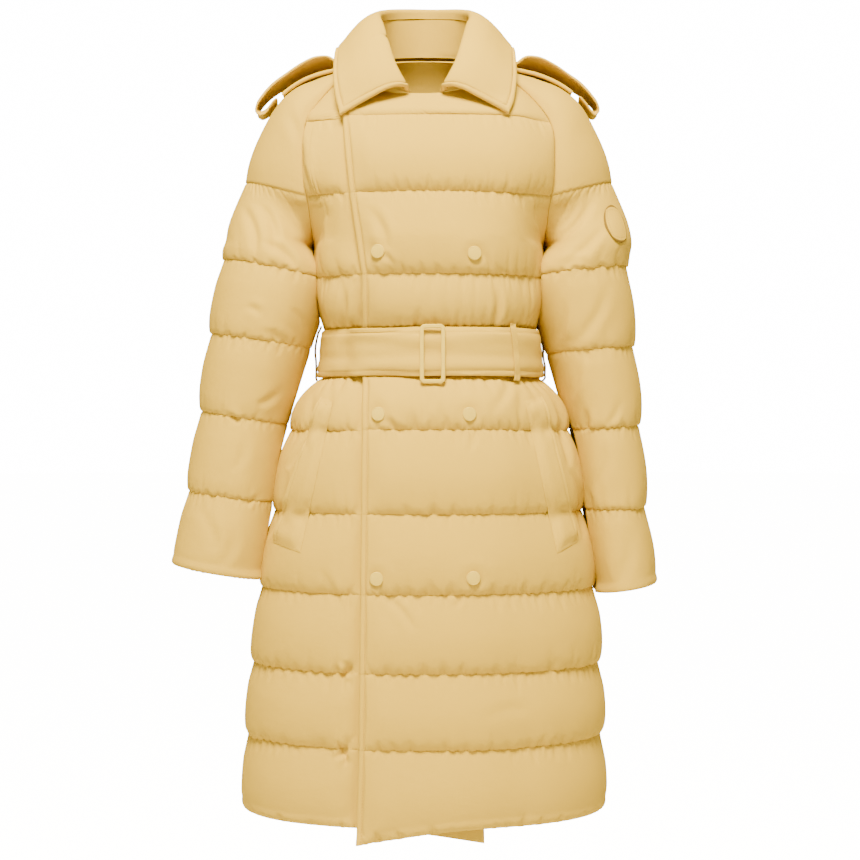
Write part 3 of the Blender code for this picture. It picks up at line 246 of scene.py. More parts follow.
def cloth_finish(name):
    """The shell cloth. A piece has a UV map in metres, and its seam lines in two attributes."""
    finish, tree, shader = new_finish(
        name, Roughness=CLOTH_ROUGHNESS, Specular_IOR_Level=CLOTH_SHINE,
        Sheen_Weight=SHEEN, Sheen_Roughness=SHEEN_ROUGHNESS, Sheen_Tint=SHEEN_TINT,
    )
    flat = add_node(tree, "UVMap", (-1300, 200), {"uv_map": "cloth"}).outputs["UV"]
    grain = add_node(tree, "Group", (-1050, 250), {"node_tree": woven_group()}, Cloth_Place=flat)
    stitched = stitched_group()
    threads = []
    for number, (line, offset) in enumerate((("line", 0.0), ("sewn", TOPSTITCH))):
        low = -350 - 400 * number
        far, run = (
            add_node(tree, "Attribute", (-1500, low - step), {"attribute_name": line + value})
            for step, value in ((0, "_distance"), (200, "_run"))
        )
        away = math_node(tree, "SUBTRACT", (-1250, low), far.outputs["Fac"], offset)
        stitches = add_node(
            tree, "Group", (-1050, low), {"node_tree": stitched},
            Distance=away, Along=run.outputs["Fac"],
        )
        threads.append(stitches.outputs["Thread"])
    thread = math_node(tree, "MAXIMUM", (-860, -350), *threads)
    where = add_node(tree, "TexCoord", (-1300, 600)).outputs["Object"]
    cloud = add_node(tree, "TexNoise", (-1050, 600), Vector=where, Scale=CLOUD_SCALE, Detail=3.0)
    cloud = math_node(tree, "MULTIPLY", (-820, 520), cloud.outputs["Fac"], UNEVENNESS)
    slub = math_node(tree, "MULTIPLY", (-820, 300), grain.outputs["Tone"], SLUB_TONE)
    tone = math_node(tree, "ADD", (-660, 420), cloud, slub)
    colour = mix_colours(tree, (-480, 420), tone, CLOTH_COLOUR, CLOTH_DEEP)
    colour = mix_colours(tree, (-260, 300), thread, colour, THREAD_COLOUR)
    crumple = add_node(
        tree, "TexNoise", (-1050, 20), Vector=flat, Scale=CRUMPLE_SCALE, Detail=4.0, Roughness=0.55
    )
    normal, heights = None, (crumple.outputs["Fac"], grain.outputs["Height"], thread)
    for number, (height, (strength, depth)) in enumerate(zip(heights, RELIEF)):
        normal = add_node(
            tree, "Bump", (180 * number - 500, -60 - 60 * number), Strength=strength,
            Distance=depth, Height=height, Normal=normal,
        ).outputs["Normal"]
    feed_all(tree, shader, Base_Color=colour, Normal=normal)
    return finish


shell_cloth = cloth_finish("shell_cloth")


# ---- The cut of the coat ---------------------------------------------------------------------
# Fronts, back and raglan sleeves are cut by the same lines as the solids: rows of points run round
# the coat, from the neck seam down to the hem, and some of them are quilting lines. The cloth is
# then relaxed between the lines, with the down pressing it outwards from inside.

SEAM_DRAW = 0.00025  # how far each piece is drawn back from a seam
WALL = 0.003  # shell and lining pressed together at a quilting line
BODY_PUFF = 0.0082  # how far the down lifts the shell between two lines
BODY_RISE = 0.0078  # how far the shell is cut to stand out between two lines
SLEEVE_RISE = 0.0052
NECK_RISE = 0.30  # the share of it between the neck seam and the first line
END_PUFF = 0.35  # the share of it that a panel keeps at its hem or cuff
SEAM_PUFF = (0.6, 0.1)  # and in its last two columns, at a seam
SQUARE = 2.3  # exponent of the body's sections: 2 is an ellipse, more is squarer
LAP_LIFT = 0.0062  # the over front lies this much further out, on the under front
LAP_WALL = 0.0012  # what the under front stands out where the over front presses it flat
LAP_SETBACK = 0.006  # the under front's edge ends this much short of the over front's mirror image
SEAT = 0.0036  # how far the shell stands out where it turns in at the hem and the cuffs
SEAT_DEPTH = 0.016

# The over front's free edge: columns this far in from it. The first two take in the rolled edge.
EDGE_STEPS = (0.0, 0.0066, 0.030)
EDGE_FULL = (0.25, 0.25, 1.0)
EDGE_SWELL = 0.0022
FRONT_COLUMNS = 9  # from the last of those columns to the seam
SEAM_COLUMN = 0.965  # the share of the way to a seam at which its next column lies
LAPEL_SHARES = (0.5, 0.22)  # columns of the neck rows, as shares of the way from middle to edge
LAP_FADE = (0.004, 0.050)  # the lift by the lap ends over this distance past the under front's edge
LAP_ENDS = (0.78, 1.0)  # and over these shares of the way to the seam
# The under front: columns this far out from the over front's edge, how full its columns are, and
# where they are in the neck rows. The last ones are pressed flat under the lap.
UNDER_STEPS = (0.036, 0.013, 0.003)
UNDER_PUFF = (0.1, 0.6, 1.0, 1.0, 1.0, 1.0, 0.55)
UNDER_NECK = (-1.0, -0.94, -0.8, -0.62, -0.45, -0.30, -0.16, -0.08)
LAPPED_SHARES = (0.0, 0.33, 0.67, 1.0)
LAPPED_COLUMNS = 5
BACK_REACH, BACK_COLUMNS = 0.86, 11  # the back's columns between those at its seams
# Rows of the cut in a channel: how far down it they are, and how full they are.
CHANNEL_ROWS = ((0.13, 0.70), (0.50, 1.00), (0.87, 0.84), (1.00, 0.00))


def table(names, *rows):
    """Named columns of a short table, as arrays."""
    return dict(zip(names.split(), np.array(rows, float).T))


def lengths(names, *rows):
    """Named columns of a table in millimetres, as arrays in metres."""
    return table(names, *(np.array(rows) / 1000))


# Shoulders: one row of the cut each, from the neck seam to the underarm. front_* and back_* are
# the raglan seams. shift moves a row sideways, and closing turns the sleeve's row from an arch
# over the arm (0) into a closed ring (1).
RAGLAN = lengths(
    "front_x front_y front_z back_x back_y back_z",
    (74, 49, -27, 64, 49, 7),
    (116, 56, -40, 96, 78, -20),
    (141, 67, -66, 124, 96, -52),
    (157, 76, -92, 146, 106, -92),
    (160, 79, -105, 150, 108, -105),
    (161, 84, -140, 155, 108, -140),
    (159, 84, -175, 157, 103, -175),
    (157, 82, -188, 157, 99, -188),
    (155, 75, -202, 155, 89, -202),
    (153, 54, -226, 153, 63, -226),
    (152, 28, -242, 152, 33, -242),
    (152, 0, -250, 152, 0, -250),
)
# The crest of the shoulder and sleeve.
CREST = table(
    "top_x top_y top_z shift closing",
    (0.082, -0.003, -0.008, 0.000, 0.0),
    (0.118, 0.004, -0.017, 0.001, 0.0),
    (0.148, 0.008, -0.027, 0.003, 0.0),
    (0.180, 0.009, -0.043, 0.004, 0.0),
    (0.193, 0.009, -0.055, 0.005, 0.0),
    (0.217, 0.008, -0.092, 0.005, 0.0),
    (0.237, 0.005, -0.140, 0.005, 0.0),
    (0.242, 0.004, -0.162, 0.005, 0.0),
    (0.246, 0.003, -0.177, 0.005, 0.3),
    (0.253, 0.001, -0.203, 0.005, 0.65),
    (0.258, 0.000, -0.222, 0.005, 0.9),
    (0.261, 0.000, -0.238, 0.005, 1.0),
)
# The middle of the front and of the back.
MIDDLES = lengths(
    "chest_y chest_z nape_y nape_z",
    (96, -62, 80, 16),
    (106, -72, 101, -12),
    (113, -82, 113, -48),
    (118, -92, 121, -92),
    (122, -105, 124, -105),
    (130, -140, 129, -140),
    (134, -175, 132, -175),
    (135, -188, 132, -188),
    (136, -202, 133, -202),
    (137, -226, 133, -226),
    (138, -242, 133, -242),
    (138, -250, 133, -250),
)
YOKE = {**RAGLAN, **CREST, **MIDDLES}
AXES = ("_x", "_y", "_z")
UNDERARM = len(YOKE["front_x"]) - 1
# The chest above the first quilting line: how deep and how wide its section is at a height.
CHEST = lengths(
    "z depth reach",
    (-27, 56.3, 130),
    (-40, 79.5, 150),
    (-66, 96.7, 180),
    (-92, 118, 191),
)
NECK_ROWS = 3  # the rows above the first quilting line
ARMPIT_ROWS = ((-0.277, 0.84), (-0.291, 0.0))  # height and swelling of the rows just below it
ARM_PRESS = 0.97  # how much of the body's swelling the arm takes away there
PRESS_REACH = (0.55, 0.80)  # from nothing to all of it, over these shares of the way to the seam
PRESSED_ROWS = (3, 6)  # rows above and below the underarm that it presses
YOKE_BODY_PUFF = (0.0, 0.35, 0.4, 0.0, 0.7, 1.0, 0.84, 0.0, 0.7, 1.0, 1.0, 1.0)
YOKE_SLEEVE_PUFF = (0.0, 0.4, 0.7, 0.9, 1.0, 1.0, 0.84, 0.0, 0.7, 1.0, 1.0, 1.0)

# The body below the underarm: the middle, half width, front and back depth at a height.
BODY = lengths(
    "z middle half front back",
    (-250, 5, 152, 138, 133),
    (-291, 5, 155, 136, 128),
    (-325, 6, 151, 130, 120),
    (-357, 7, 141, 121, 111),
    (-389, 8, 139, 118, 107),
    (-421, 7, 142, 121, 111),
    (-455, 6, 168, 134, 130),
    (-489, 6, 182, 142, 141),
    (-594, 4, 201, 150, 152),
    (-694, 3, 217, 156, 158),
    (-792, 1, 226, 160, 162),
    (-886, -1, 231, 164, 165),
    (-985, -2, 233, 166, 167),
)
# Heights of the quilting lines below the armpit. The belt covers the flat stretch.
LINES = (-0.188, -0.291, -0.357, -0.421, -0.489, -0.594, -0.694, -0.792, -0.886, -0.983)
FLAT_STRETCH = (-0.357, -0.421)
HEM_CHANNEL = LINES[-2:]
HEM_DIP = 0.018  # the front corners hang this much lower than the hem's sides
HEM_DIP_REACH = 0.070  # half the width over which the hem dips
HEM_DIP_CURVE = 1.5  # how slowly it starts to
HEM_DIP_END = 1.2  # it dips no further past this share of that width

# The free edge of the over front: its place across the chest at a height.
EDGE = lengths(
    "z x",
    (-62, -108), (-92, -103), (-188, -93), (-245, -83), (-291, -77),
    (-389, -76), (-694, -79), (-886, -81), (-983, -84),
)

# Rings of each sleeve at its quilting lines and its cuff: the inner and outer side, front depth.
SLEEVE = {
    -1: lengths(
        "inner_x outer_x inner_z outer_z middle_y depth",
        (125, 264, -293, -264, -10, 80),
        (152, 281, -381, -362, -10, 78),
        (182, 294, -481, -464, -12, 70),
        (196, 309, -583, -568, -20, 62),
        (214, 326, -684, -665, -30, 56),
    ),
    1: lengths(
        "inner_x outer_x inner_z outer_z middle_y depth",
        (130, 265, -290, -273, -8, 80),
        (162, 274, -388, -378, 0, 78),
        (190, 282, -488, -483, 0, 74),
        (206, 289, -592, -590, -5, 70),
        (226, 300, -702, -690, -10, 66),
    ),
}
UNDERARM_RING = dict(x=0.152, z=-0.250, depth=0.082)  # where the sleeve closes under the arm
SLEEVE_COLUMNS = 20
RAGLAN_REACH = 0.25  # the raglan seam shapes a sleeve's row over this share of its way round
SLEEVE_FLAT = 0.9  # the share of the swelling that is missing at its seams and beside the body
SEAM_FLAT, SIDE_FLAT = 0.12, (0.10, 0.24)  # over what shares of its way round
SIDE_ROWS = 3  # the arm lies beside the body from this many rows above the underarm on down
SLEEVE_DRAW = 0.0006  # how far a sleeve's edge is drawn back from the raglan seam
UNDERARM_DRAW = 0.0010  # and its lowest point further, from the body
UNDERARM_ROW = (0.78, 0.84)  # how far down to the next line its first row below lies, and how full
SIDE_CLEARANCE = 0.0020  # between a sleeve and the side of the body
SNAPS = table(
    "column level x z",
    (1, 1, -0.0590, -0.2643), (2, 1, 0.0617, -0.2668),
    (1, 2, -0.0582, -0.4682), (2, 2, 0.0555, -0.4682),
    (1, 3, -0.0600, -0.6730), (2, 3, 0.0600, -0.6717),
)
SIDE_SWELL = (0.352, 0.375)  # from the first depth on the body's side swells again, below the arm


def unit(vectors):
    return vectors / np.maximum(np.linalg.norm(vectors, axis=-1), 1e-12)[..., None]


def smooth_step(value, start, end):
    share = np.clip((np.asarray(value, float) - start) / (end - start), 0.0, 1.0)
    return share * share * (3 - 2 * share)


def along(points, places, where):
    """A smooth curve through a column of numbers or rows, read at the places in where."""
    points, places = np.asarray(points, float), np.asarray(places, float)
    slopes = np.gradient(points, places, axis=0)
    where = np.asarray(where, float)
    i = np.clip(np.searchsorted(places, where) - 1, 0, len(places) - 2)
    step = places[i + 1] - places[i]
    t = np.clip((where - places[i]) / step, 0.0, 1.0)
    wide = np.shape(t) + (1,) * (points.ndim - 1)
    t, step = np.reshape(t, wide), np.reshape(step, wide)
    return (
        points[i] * (2 * t**3 - 3 * t**2 + 1)
        + slopes[i] * step * (t**3 - 2 * t**2 + t)
        + points[i + 1] * (3 * t**2 - 2 * t**3)
        + slopes[i + 1] * step * (t**3 - t**2)
    )


def section(z):
    """Middle, half width, front depth and back depth of the body at a height."""
    return [along(BODY[name], -BODY["z"], -z) for name in ("middle", "half", "front", "back")]


def edge_x(z):
    return float(np.interp(-z, -EDGE["z"], EDGE["x"]))


# One line of points round the coat: its middle, how full it is, and for its front and its back the
# depth, the height in the middle, and x, y and z of the seam.
Row = namedtuple("Row", "middle front back puff")


def body_rows():
    """The rows of the front and back panels, from the neck seam down to the hem."""
    rows = []
    for k, puff in enumerate(YOKE_BODY_PUFF):
        front, back = (
            [YOKE[name][k] for name in (f"{middle}_y", f"{middle}_z", *(seam + x for x in AXES))]
            for middle, seam in (("chest", "front"), ("nape", "back"))
        )
        rows.append(Row(YOKE["shift"][k], front, back, puff))
    heights = list(ARMPIT_ROWS)
    for top, bottom in zip(LINES[1:], LINES[2:]):
        if (top, bottom) == FLAT_STRETCH:
            heights += [((top + bottom) / 2, 0.0), (bottom, 0.0)]
            continue
        heights += [(top + (bottom - top) * t, puff) for t, puff in CHANNEL_ROWS]
    heights[-1] = (heights[-1][0], END_PUFF)
    for z, puff in heights:
        middle, half, front, back = section(z)
        rows.append(Row(middle, (front, z, half, 0.0, z), (back, z, half, 0.0, z), puff))
    return rows


def reach_and_end(depth, seam_x, seam_y):
    """Where a row's superellipse would end sideways, and its angle at the seam."""
    drop = (seam_y / depth) ** SQUARE
    reach = seam_x / (1 - drop) ** (1 / SQUARE)
    return reach, math.atan2((seam_x / reach) ** (SQUARE / 2), drop**0.5)


def share_at(side_row, x):
    """The share of the way from a row's middle to its seam at which it is x from the middle."""
    depth, _, seam_x, seam_y, _ = side_row
    reach, end = reach_and_end(depth, seam_x, seam_y)
    return math.copysign(math.asin(min(1.0, abs(x) / reach) ** (SQUARE / 2)) / end, x)


def chest_depth(x, z):
    """How far in front of the neck's middle the chest lies, above the first quilting line."""
    depth, reach = (along(CHEST[name], -CHEST["z"], -z) for name in ("depth", "reach"))
    return depth * (1 - min(0.98, abs(x) / reach) ** SQUARE) ** (1 / SQUARE)


def neck_point(row, share):
    """A point of a front row that curves up to the neck seam."""
    _, middle_z, seam_x, _, seam_z = row.front
    x = math.copysign(seam_x * math.sin(abs(share) * math.pi / 2), share)
    z = middle_z + (seam_z - middle_z) * share * share
    return row.middle + x, -chest_depth(x, z), z


def lapel_point(row, x):
    """A point of a front row on the far side of the middle, where the top edge runs level."""
    return row.middle + x, -chest_depth(x, row.front[1]), row.front[1]


def row_point(row, share, facing):
    """A point of the front (facing -1) or back (facing 1). share is -1 or 1 at the seams."""
    depth, middle_z, seam_x, seam_y, seam_z = row.front if facing < 0 else row.back
    reach, end = reach_and_end(depth, seam_x, seam_y)
    angle = abs(share) * end
    x = math.copysign(reach * math.sin(angle) ** (2 / SQUARE), share)
    y = facing * depth * math.cos(angle) ** (2 / SQUARE)
    return row.middle + x, y, middle_z + (seam_z - middle_z) * share * share


def dip(x, lap_side):
    """How much lower than its sides the hem of a front hangs. lap_side is -1 on the over front."""
    share = (lap_side * x + HEM_DIP_REACH) / (2 * HEM_DIP_REACH)
    return -HEM_DIP * np.clip(share, 0.0, HEM_DIP_END) ** HEM_DIP_CURVE


def hang(points, lap_side):
    """Lets the last channel of a front down to its dipping hem."""
    z = points[..., 2]
    share = np.clip((HEM_CHANNEL[0] - z) / (HEM_CHANNEL[0] - HEM_CHANNEL[1]), 0.0, 1.0)
    points[..., 2] = z + share * dip(points[..., 0], lap_side)
    return points


def front_shares(row, edge, steps, count):
    """Shares from some steps near a front's free edge on to its seam at 1."""
    near = [share_at(row.front, edge + step) for step in steps]
    inside = np.linspace(0.0, 1.0, count)[1:-1]
    return near + [near[-1] + (1 - near[-1]) * t for t in inside] + [SEAM_COLUMN, 1.0]


def pressed(share, row_number):
    """How much swelling the body keeps where the arm presses on it, just under the armpit."""
    above, below = PRESSED_ROWS
    if not UNDERARM - above <= row_number <= UNDERARM + below:
        return 1.0
    return 1 - ARM_PRESS * float(smooth_step(abs(share), *PRESS_REACH))


def front_over(rows):
    """The wearer's left front. Its columns run from the free edge to the raglan and side seam."""
    points, full, lifts = [], [], []
    for number, row in enumerate(rows):
        edge = edge_x(row.front[1]) - row.middle
        if number < NECK_ROWS:
            far = [lapel_point(row, edge + step) for step in EDGE_STEPS]
            far += [lapel_point(row, edge * t) for t in LAPEL_SHARES]
            shares = [0.0] * 5 + list(np.linspace(0.0, 1.0, 7)[:-1]) + [1.0]
            line = far + [neck_point(row, share) for share in shares[5:]]
        else:
            shares = front_shares(row, edge, EDGE_STEPS, FRONT_COLUMNS)
            line = [row_point(row, share, -1) for share in shares]
        across = list(EDGE_FULL) + [1.0] * (FRONT_COLUMNS - 2) + list(SEAM_PUFF)
        points.append(line)
        full.append([a * pressed(share, number) for a, share in zip(across, shares)])
        lap_end = -edge - LAP_SETBACK + row.middle
        x = np.array(line)[:, 0]
        lift = LAP_LIFT * (1 - smooth_step(x, *(lap_end + fade for fade in LAP_FADE)))
        lifts.append(lift * (1 - smooth_step(shares, *LAP_ENDS)))
    points, full = hang(np.array(points), -1), np.array(full)
    swell = np.zeros_like(full)
    swell[:, :2] = EDGE_SWELL
    return points, np.array(lifts), full, swell


def front_under(rows):
    """The wearer's right front. Its columns run from the seams to the edge hidden in the lap."""
    points, full = [], []
    lapped = np.linspace(0.0, 1.0, 5)[1:]
    for number, row in enumerate(rows):
        edge = edge_x(row.front[1]) - row.middle
        hidden = -edge - LAP_SETBACK
        if number < NECK_ROWS:
            shares = UNDER_NECK
            line = [neck_point(row, share) for share in shares]
            line += [lapel_point(row, hidden * t) for t in LAPPED_SHARES]
        else:
            near = [share_at(row.front, edge - step) for step in UNDER_STEPS]
            inside = np.linspace(0.0, 1.0, 5)[1:-1]
            shares = [-1.0, -SEAM_COLUMN] + [-1 + (1 + near[0]) * t for t in inside] + near
            line = [row_point(row, share, -1) for share in shares]
            line += [
                row_point(row, share_at(row.front, edge + (hidden - edge) * t), -1) for t in lapped
            ]
        points.append(line)
        down = [a * pressed(share, number) for a, share in zip(UNDER_PUFF, shares)]
        full.append(down + [0] * LAPPED_COLUMNS)
    points, full = hang(np.array(points), 1), np.array(full)
    swell = np.zeros_like(full)
    swell[:, -LAPPED_COLUMNS:] = LAP_WALL
    full[:NECK_ROWS, 3:] = 0.0
    swell[:NECK_ROWS, 3:] = LAP_WALL
    return points, np.zeros_like(full), full, swell


def back_panel(rows):
    """The back. Its columns run from the wearer's left seam to the right one."""
    inside = list(np.linspace(BACK_REACH, -BACK_REACH, BACK_COLUMNS))
    shares = [1.0, SEAM_COLUMN] + inside + [-SEAM_COLUMN, -1.0]
    across = list(SEAM_PUFF[::-1]) + [1.0] * BACK_COLUMNS + list(SEAM_PUFF)
    points = np.array([[row_point(row, share, 1) for share in shares] for row in rows])
    full = np.array(
        [[a * pressed(share, number) for a, share in zip(across, shares)]
         for number in range(len(rows))]
    )
    return points, np.zeros_like(full), full, np.zeros_like(full)


def ring(inner_x, outer_x, inner_z, outer_z, middle_y, depth, turns):
    """A closed ring of a sleeve. turns is 0 and 1 at the inner side, 0.25 at the front."""
    angle = -math.pi / 2 + 2 * math.pi * np.asarray(turns)
    outward = (np.sin(angle) + 1) / 2
    x = inner_x + (outer_x - inner_x) * outward
    y = middle_y - depth * np.cos(angle)
    return np.stack([x, y, inner_z + (outer_z - inner_z) * outward], axis=-1)


def arch(k, turns):
    """A row of the sleeve over the shoulder, from the front raglan seam to the back one."""
    front, back, top = (
        np.array([YOKE[part + axis][k] for axis in AXES]) for part in ("front", "back", "top")
    )
    front[1] *= -1
    centre, spread = (front + back) / 2, (front - back) / 2
    angle = math.pi * np.asarray(turns)[:, None]
    over = centre + (top - centre) * np.sin(angle) + spread * np.cos(angle)
    closing = YOKE["closing"][k]
    inner, depth = UNDERARM_RING["x"], UNDERARM_RING["depth"]
    round_arm = ring(inner, top[0], front[2], top[2], top[1], depth, turns)
    points = over * (1 - closing) + round_arm * closing
    near_front = np.clip(1 - np.asarray(turns) / RAGLAN_REACH, 0.0, 1.0)[:, None] ** 2
    near_back = near_front[::-1]
    return points + (front - points[0]) * near_front + (back - points[-1]) * near_back


def sleeve(side):
    """A raglan sleeve. Its columns run from the front seam over the arm to the back seam."""
    turns = np.linspace(0.0, 1.0, SLEEVE_COLUMNS + 1)
    rows, puffs = [], []
    for k, puff in enumerate(YOKE_SLEEVE_PUFF):
        points = arch(k, turns)
        points[:, 0] = side * points[:, 0] + YOKE["shift"][k]
        rows.append(points)
        puffs.append(puff)
    shift = side * YOKE["shift"][UNDERARM]
    first = dict(inner_x=UNDERARM_RING["x"] + shift, outer_x=YOKE["top_x"][UNDERARM] + shift)
    first.update(inner_z=UNDERARM_RING["z"], outer_z=YOKE["top_z"][UNDERARM])
    first.update(middle_y=0.0, depth=UNDERARM_RING["depth"])
    rings = {name: np.concatenate([[first[name]], SLEEVE[side][name]]) for name in first}
    lines = np.arange(len(rings["depth"]))
    places = [UNDERARM_ROW, CHANNEL_ROWS[-1]]
    places += [(line + t, puff) for line in lines[1:-1] for t, puff in CHANNEL_ROWS]
    for place, puff in places:
        values = {name: float(along(column, lines, place)) for name, column in rings.items()}
        points = ring(turns=turns, **values)
        points[:, 0] *= side
        rows.append(points)
        puffs.append(puff)
    points = np.array(rows)
    full = np.ones(points.shape[:2])
    at_seam = np.minimum(turns, 1 - turns)
    open_rows = np.arange(len(points)) <= UNDERARM
    full[open_rows] *= 1 - SLEEVE_FLAT * (1 - smooth_step(at_seam, 0.0, SEAM_FLAT))
    by_body = np.arange(len(points)) >= UNDERARM - SIDE_ROWS
    full[by_body] *= 1 - SLEEVE_FLAT * (1 - smooth_step(at_seam, *SIDE_FLAT))
    puffs[-1] = 0.0
    return points, np.zeros_like(full), full, np.zeros_like(full), puffs


def keep_off_body(points, side):
    """Presses the inner side of the sleeve's rings flat against the body, just clear of it."""
    z = points[..., 2]
    middle, half, front, back = section(np.clip(z, BODY["z"][-1], BODY["z"][0]))
    depth = np.where(points[..., 1] < 0, front, back)
    forward = np.minimum(1.0, np.abs(points[..., 1]) / depth) ** SQUARE
    inside = (1 - forward) ** (1 / SQUARE)
    share = np.arccos(np.sqrt(forward)) / (math.pi / 2)
    arm = ARM_PRESS * (1 - smooth_step(-z, *SIDE_SWELL))
    swollen = BODY_PUFF * (1 - arm * smooth_step(share, *PRESS_REACH))
    limit = side * middle + half * inside + swollen + SIDE_CLEARANCE
    points[..., 0] = side * np.maximum(side * points[..., 0], limit)


def key(point):
    return tuple(np.round(point, 6))


def shared_normals(grids):
    """Outward normals at each grid's points, the same on both sides of a seam."""
    sums = {}
    for points in grids:
        down = points[1:, :-1] - points[:-1, :-1]
        across = points[:-1, 1:] - points[:-1, :-1]
        far_down = points[1:, 1:] - points[:-1, 1:]
        far_across = points[1:, 1:] - points[1:, :-1]
        normals = np.cross(down, across) + np.cross(far_down, far_across)
        for r in range(normals.shape[0]):
            for c in range(normals.shape[1]):
                for corner_r, corner_c in ((r, c), (r + 1, c), (r, c + 1), (r + 1, c + 1)):
                    place = key(points[corner_r, corner_c])
                    sums[place] = sums.get(place, 0) + normals[r, c]
    found = []
    for points in grids:
        flat = np.array([sums[key(point)] for point in points.reshape(-1, 3)])
        found.append(unit(flat).reshape(points.shape))
    return found


def draw_in(points, amount=SEAM_DRAW):
    """Pulls the border columns of a grid back from its seams."""
    points = points.copy()
    for c in (0, -1):
        seam = unit(np.gradient(points[:, c], axis=0))
        step = points[:, 1 if c == 0 else -2] - points[:, c]
        step -= seam * (step * seam).sum(axis=1)[:, None]
        points[:, c] += amount * unit(step)
    return points


rows = body_rows()
cut = {
    "front_over": front_over(rows),
    "front_under": front_under(rows),
    "back": back_panel(rows),
    "sleeve_left": sleeve(1),
    "sleeve_right": sleeve(-1),
}
line_rows = [number for number, row in enumerate(rows[:-1]) if row.puff == 0.0] + [len(rows) - 1]
ordered = [
    made[0][:, ::-1] if name == "sleeve_right" else made[0] for name, made in cut.items()
]
cut_normals = dict(zip(cut, shared_normals(ordered)))
cut_normals["sleeve_right"] = cut_normals["sleeve_right"][:, ::-1]
if float(np.dot(cut_normals["back"][10, 8], (0, 1, 0))) < 0:  # they all have to point outwards
    cut_normals = {name: -normal for name, normal in cut_normals.items()}


# ---- The quilted panels ----------------------------------------------------------------------
# Each panel is two layers of cloth with down between them, sewn through at the quilting lines.
# The shell is a little wider than the lines it is sewn to, so it gathers beside them.

HANG = 1.36  # moves the fullest place of a channel down from its middle
BELOW_BELT = 0.34  # how steeply the channel under the belt comes out from it
CELL = 0.0046  # width of a cell of the first relaxing; the finished cells are half as wide
BACK_CELL = 0.0051
STRETCH_PAIRS = ((0, 1, 1.0), (1, 0, 1.0), (1, 1, 0.35), (1, -1, 0.35), (0, 2, 0.25), (2, 0, 0.25))
SLACK_DOWN, SLACK = 0.002, 0.07  # how much longer and wider the shell is than its smooth bulge
DROOP = 0.0042  # the most that the down hangs over a line
GATHER = 0.0018  # how deep the gathers between its lobes are
LOBE_WIDTH = (0.012, 0.046)
LOBE_START = -0.02  # where the first lobe starts, before the panel's first column
LOBE_ROWS = (0.60, 0.93, 0.05)  # from where to where in a channel they grow, and how near they end
LOBE_CALM = (0.45, 0.03, 0.14)  # their share in the middle, and from where to where it grows
LINE_STEPS = (-0.0005, 0.0010)  # finished rows this close to each quilting line
TURN_STEP = 0.0011  # and this far above each line and the hem, where the shell turns in
LEAST_CELL = 0.0003
RELAX_STEPS = (220, 60)  # with the first cells, and with the finished ones
STITCHED_FLAT = 0.06  # cloth less full than this stays as it is cut
TREMBLE = 0.0003  # sets the gathers off
UPPER_ROUND, LOWER_ROUND = 0.95, 0.66  # of a channel's bulge: less is rounder
DAMPING = 0.80  # the share of its last move that a point keeps in each step
WAIST_SLACK, WAIST_REACH = 0.022, 0.035  # and wider again above and below the belt, this far
LINE_REACH = 0.014  # how far from a quilting line the spare width reaches
LINE_SLACK = (0.08, 0.25)  # the shares of the spare width, and of the bulge's, kept away from it
WIDEST_SPARE = 0.10  # the most that a bulge may gather towards its lines
WIDE_CELLS = (0.06, 0.035)  # size, down and across, of the places with more and less spare cloth
PATCHY, LEAST_PATCHY, MOST_PATCHY = 0.75, 0.1, 2.0
# Across the over front's edge: distance from it, and how far the rolled edge stands out there.
EDGE_ROLL = lengths(
    "distance rise",
    (0, -1.4), (1, 0.2), (2.4, 1), (5, 0.9), (6.6, 0.1),
    (7.8, -0.9), (9, -0.3), (11, 0.3), (14, 0),
)
PRESSURE = 0.000008  # how far the down pushes a point out in each step
SAG = 0.000004
# The highest a point may stand: this share of the smooth bulge, and this much more.
HEAVE, HEAVE_MORE = 1.3, 0.0015
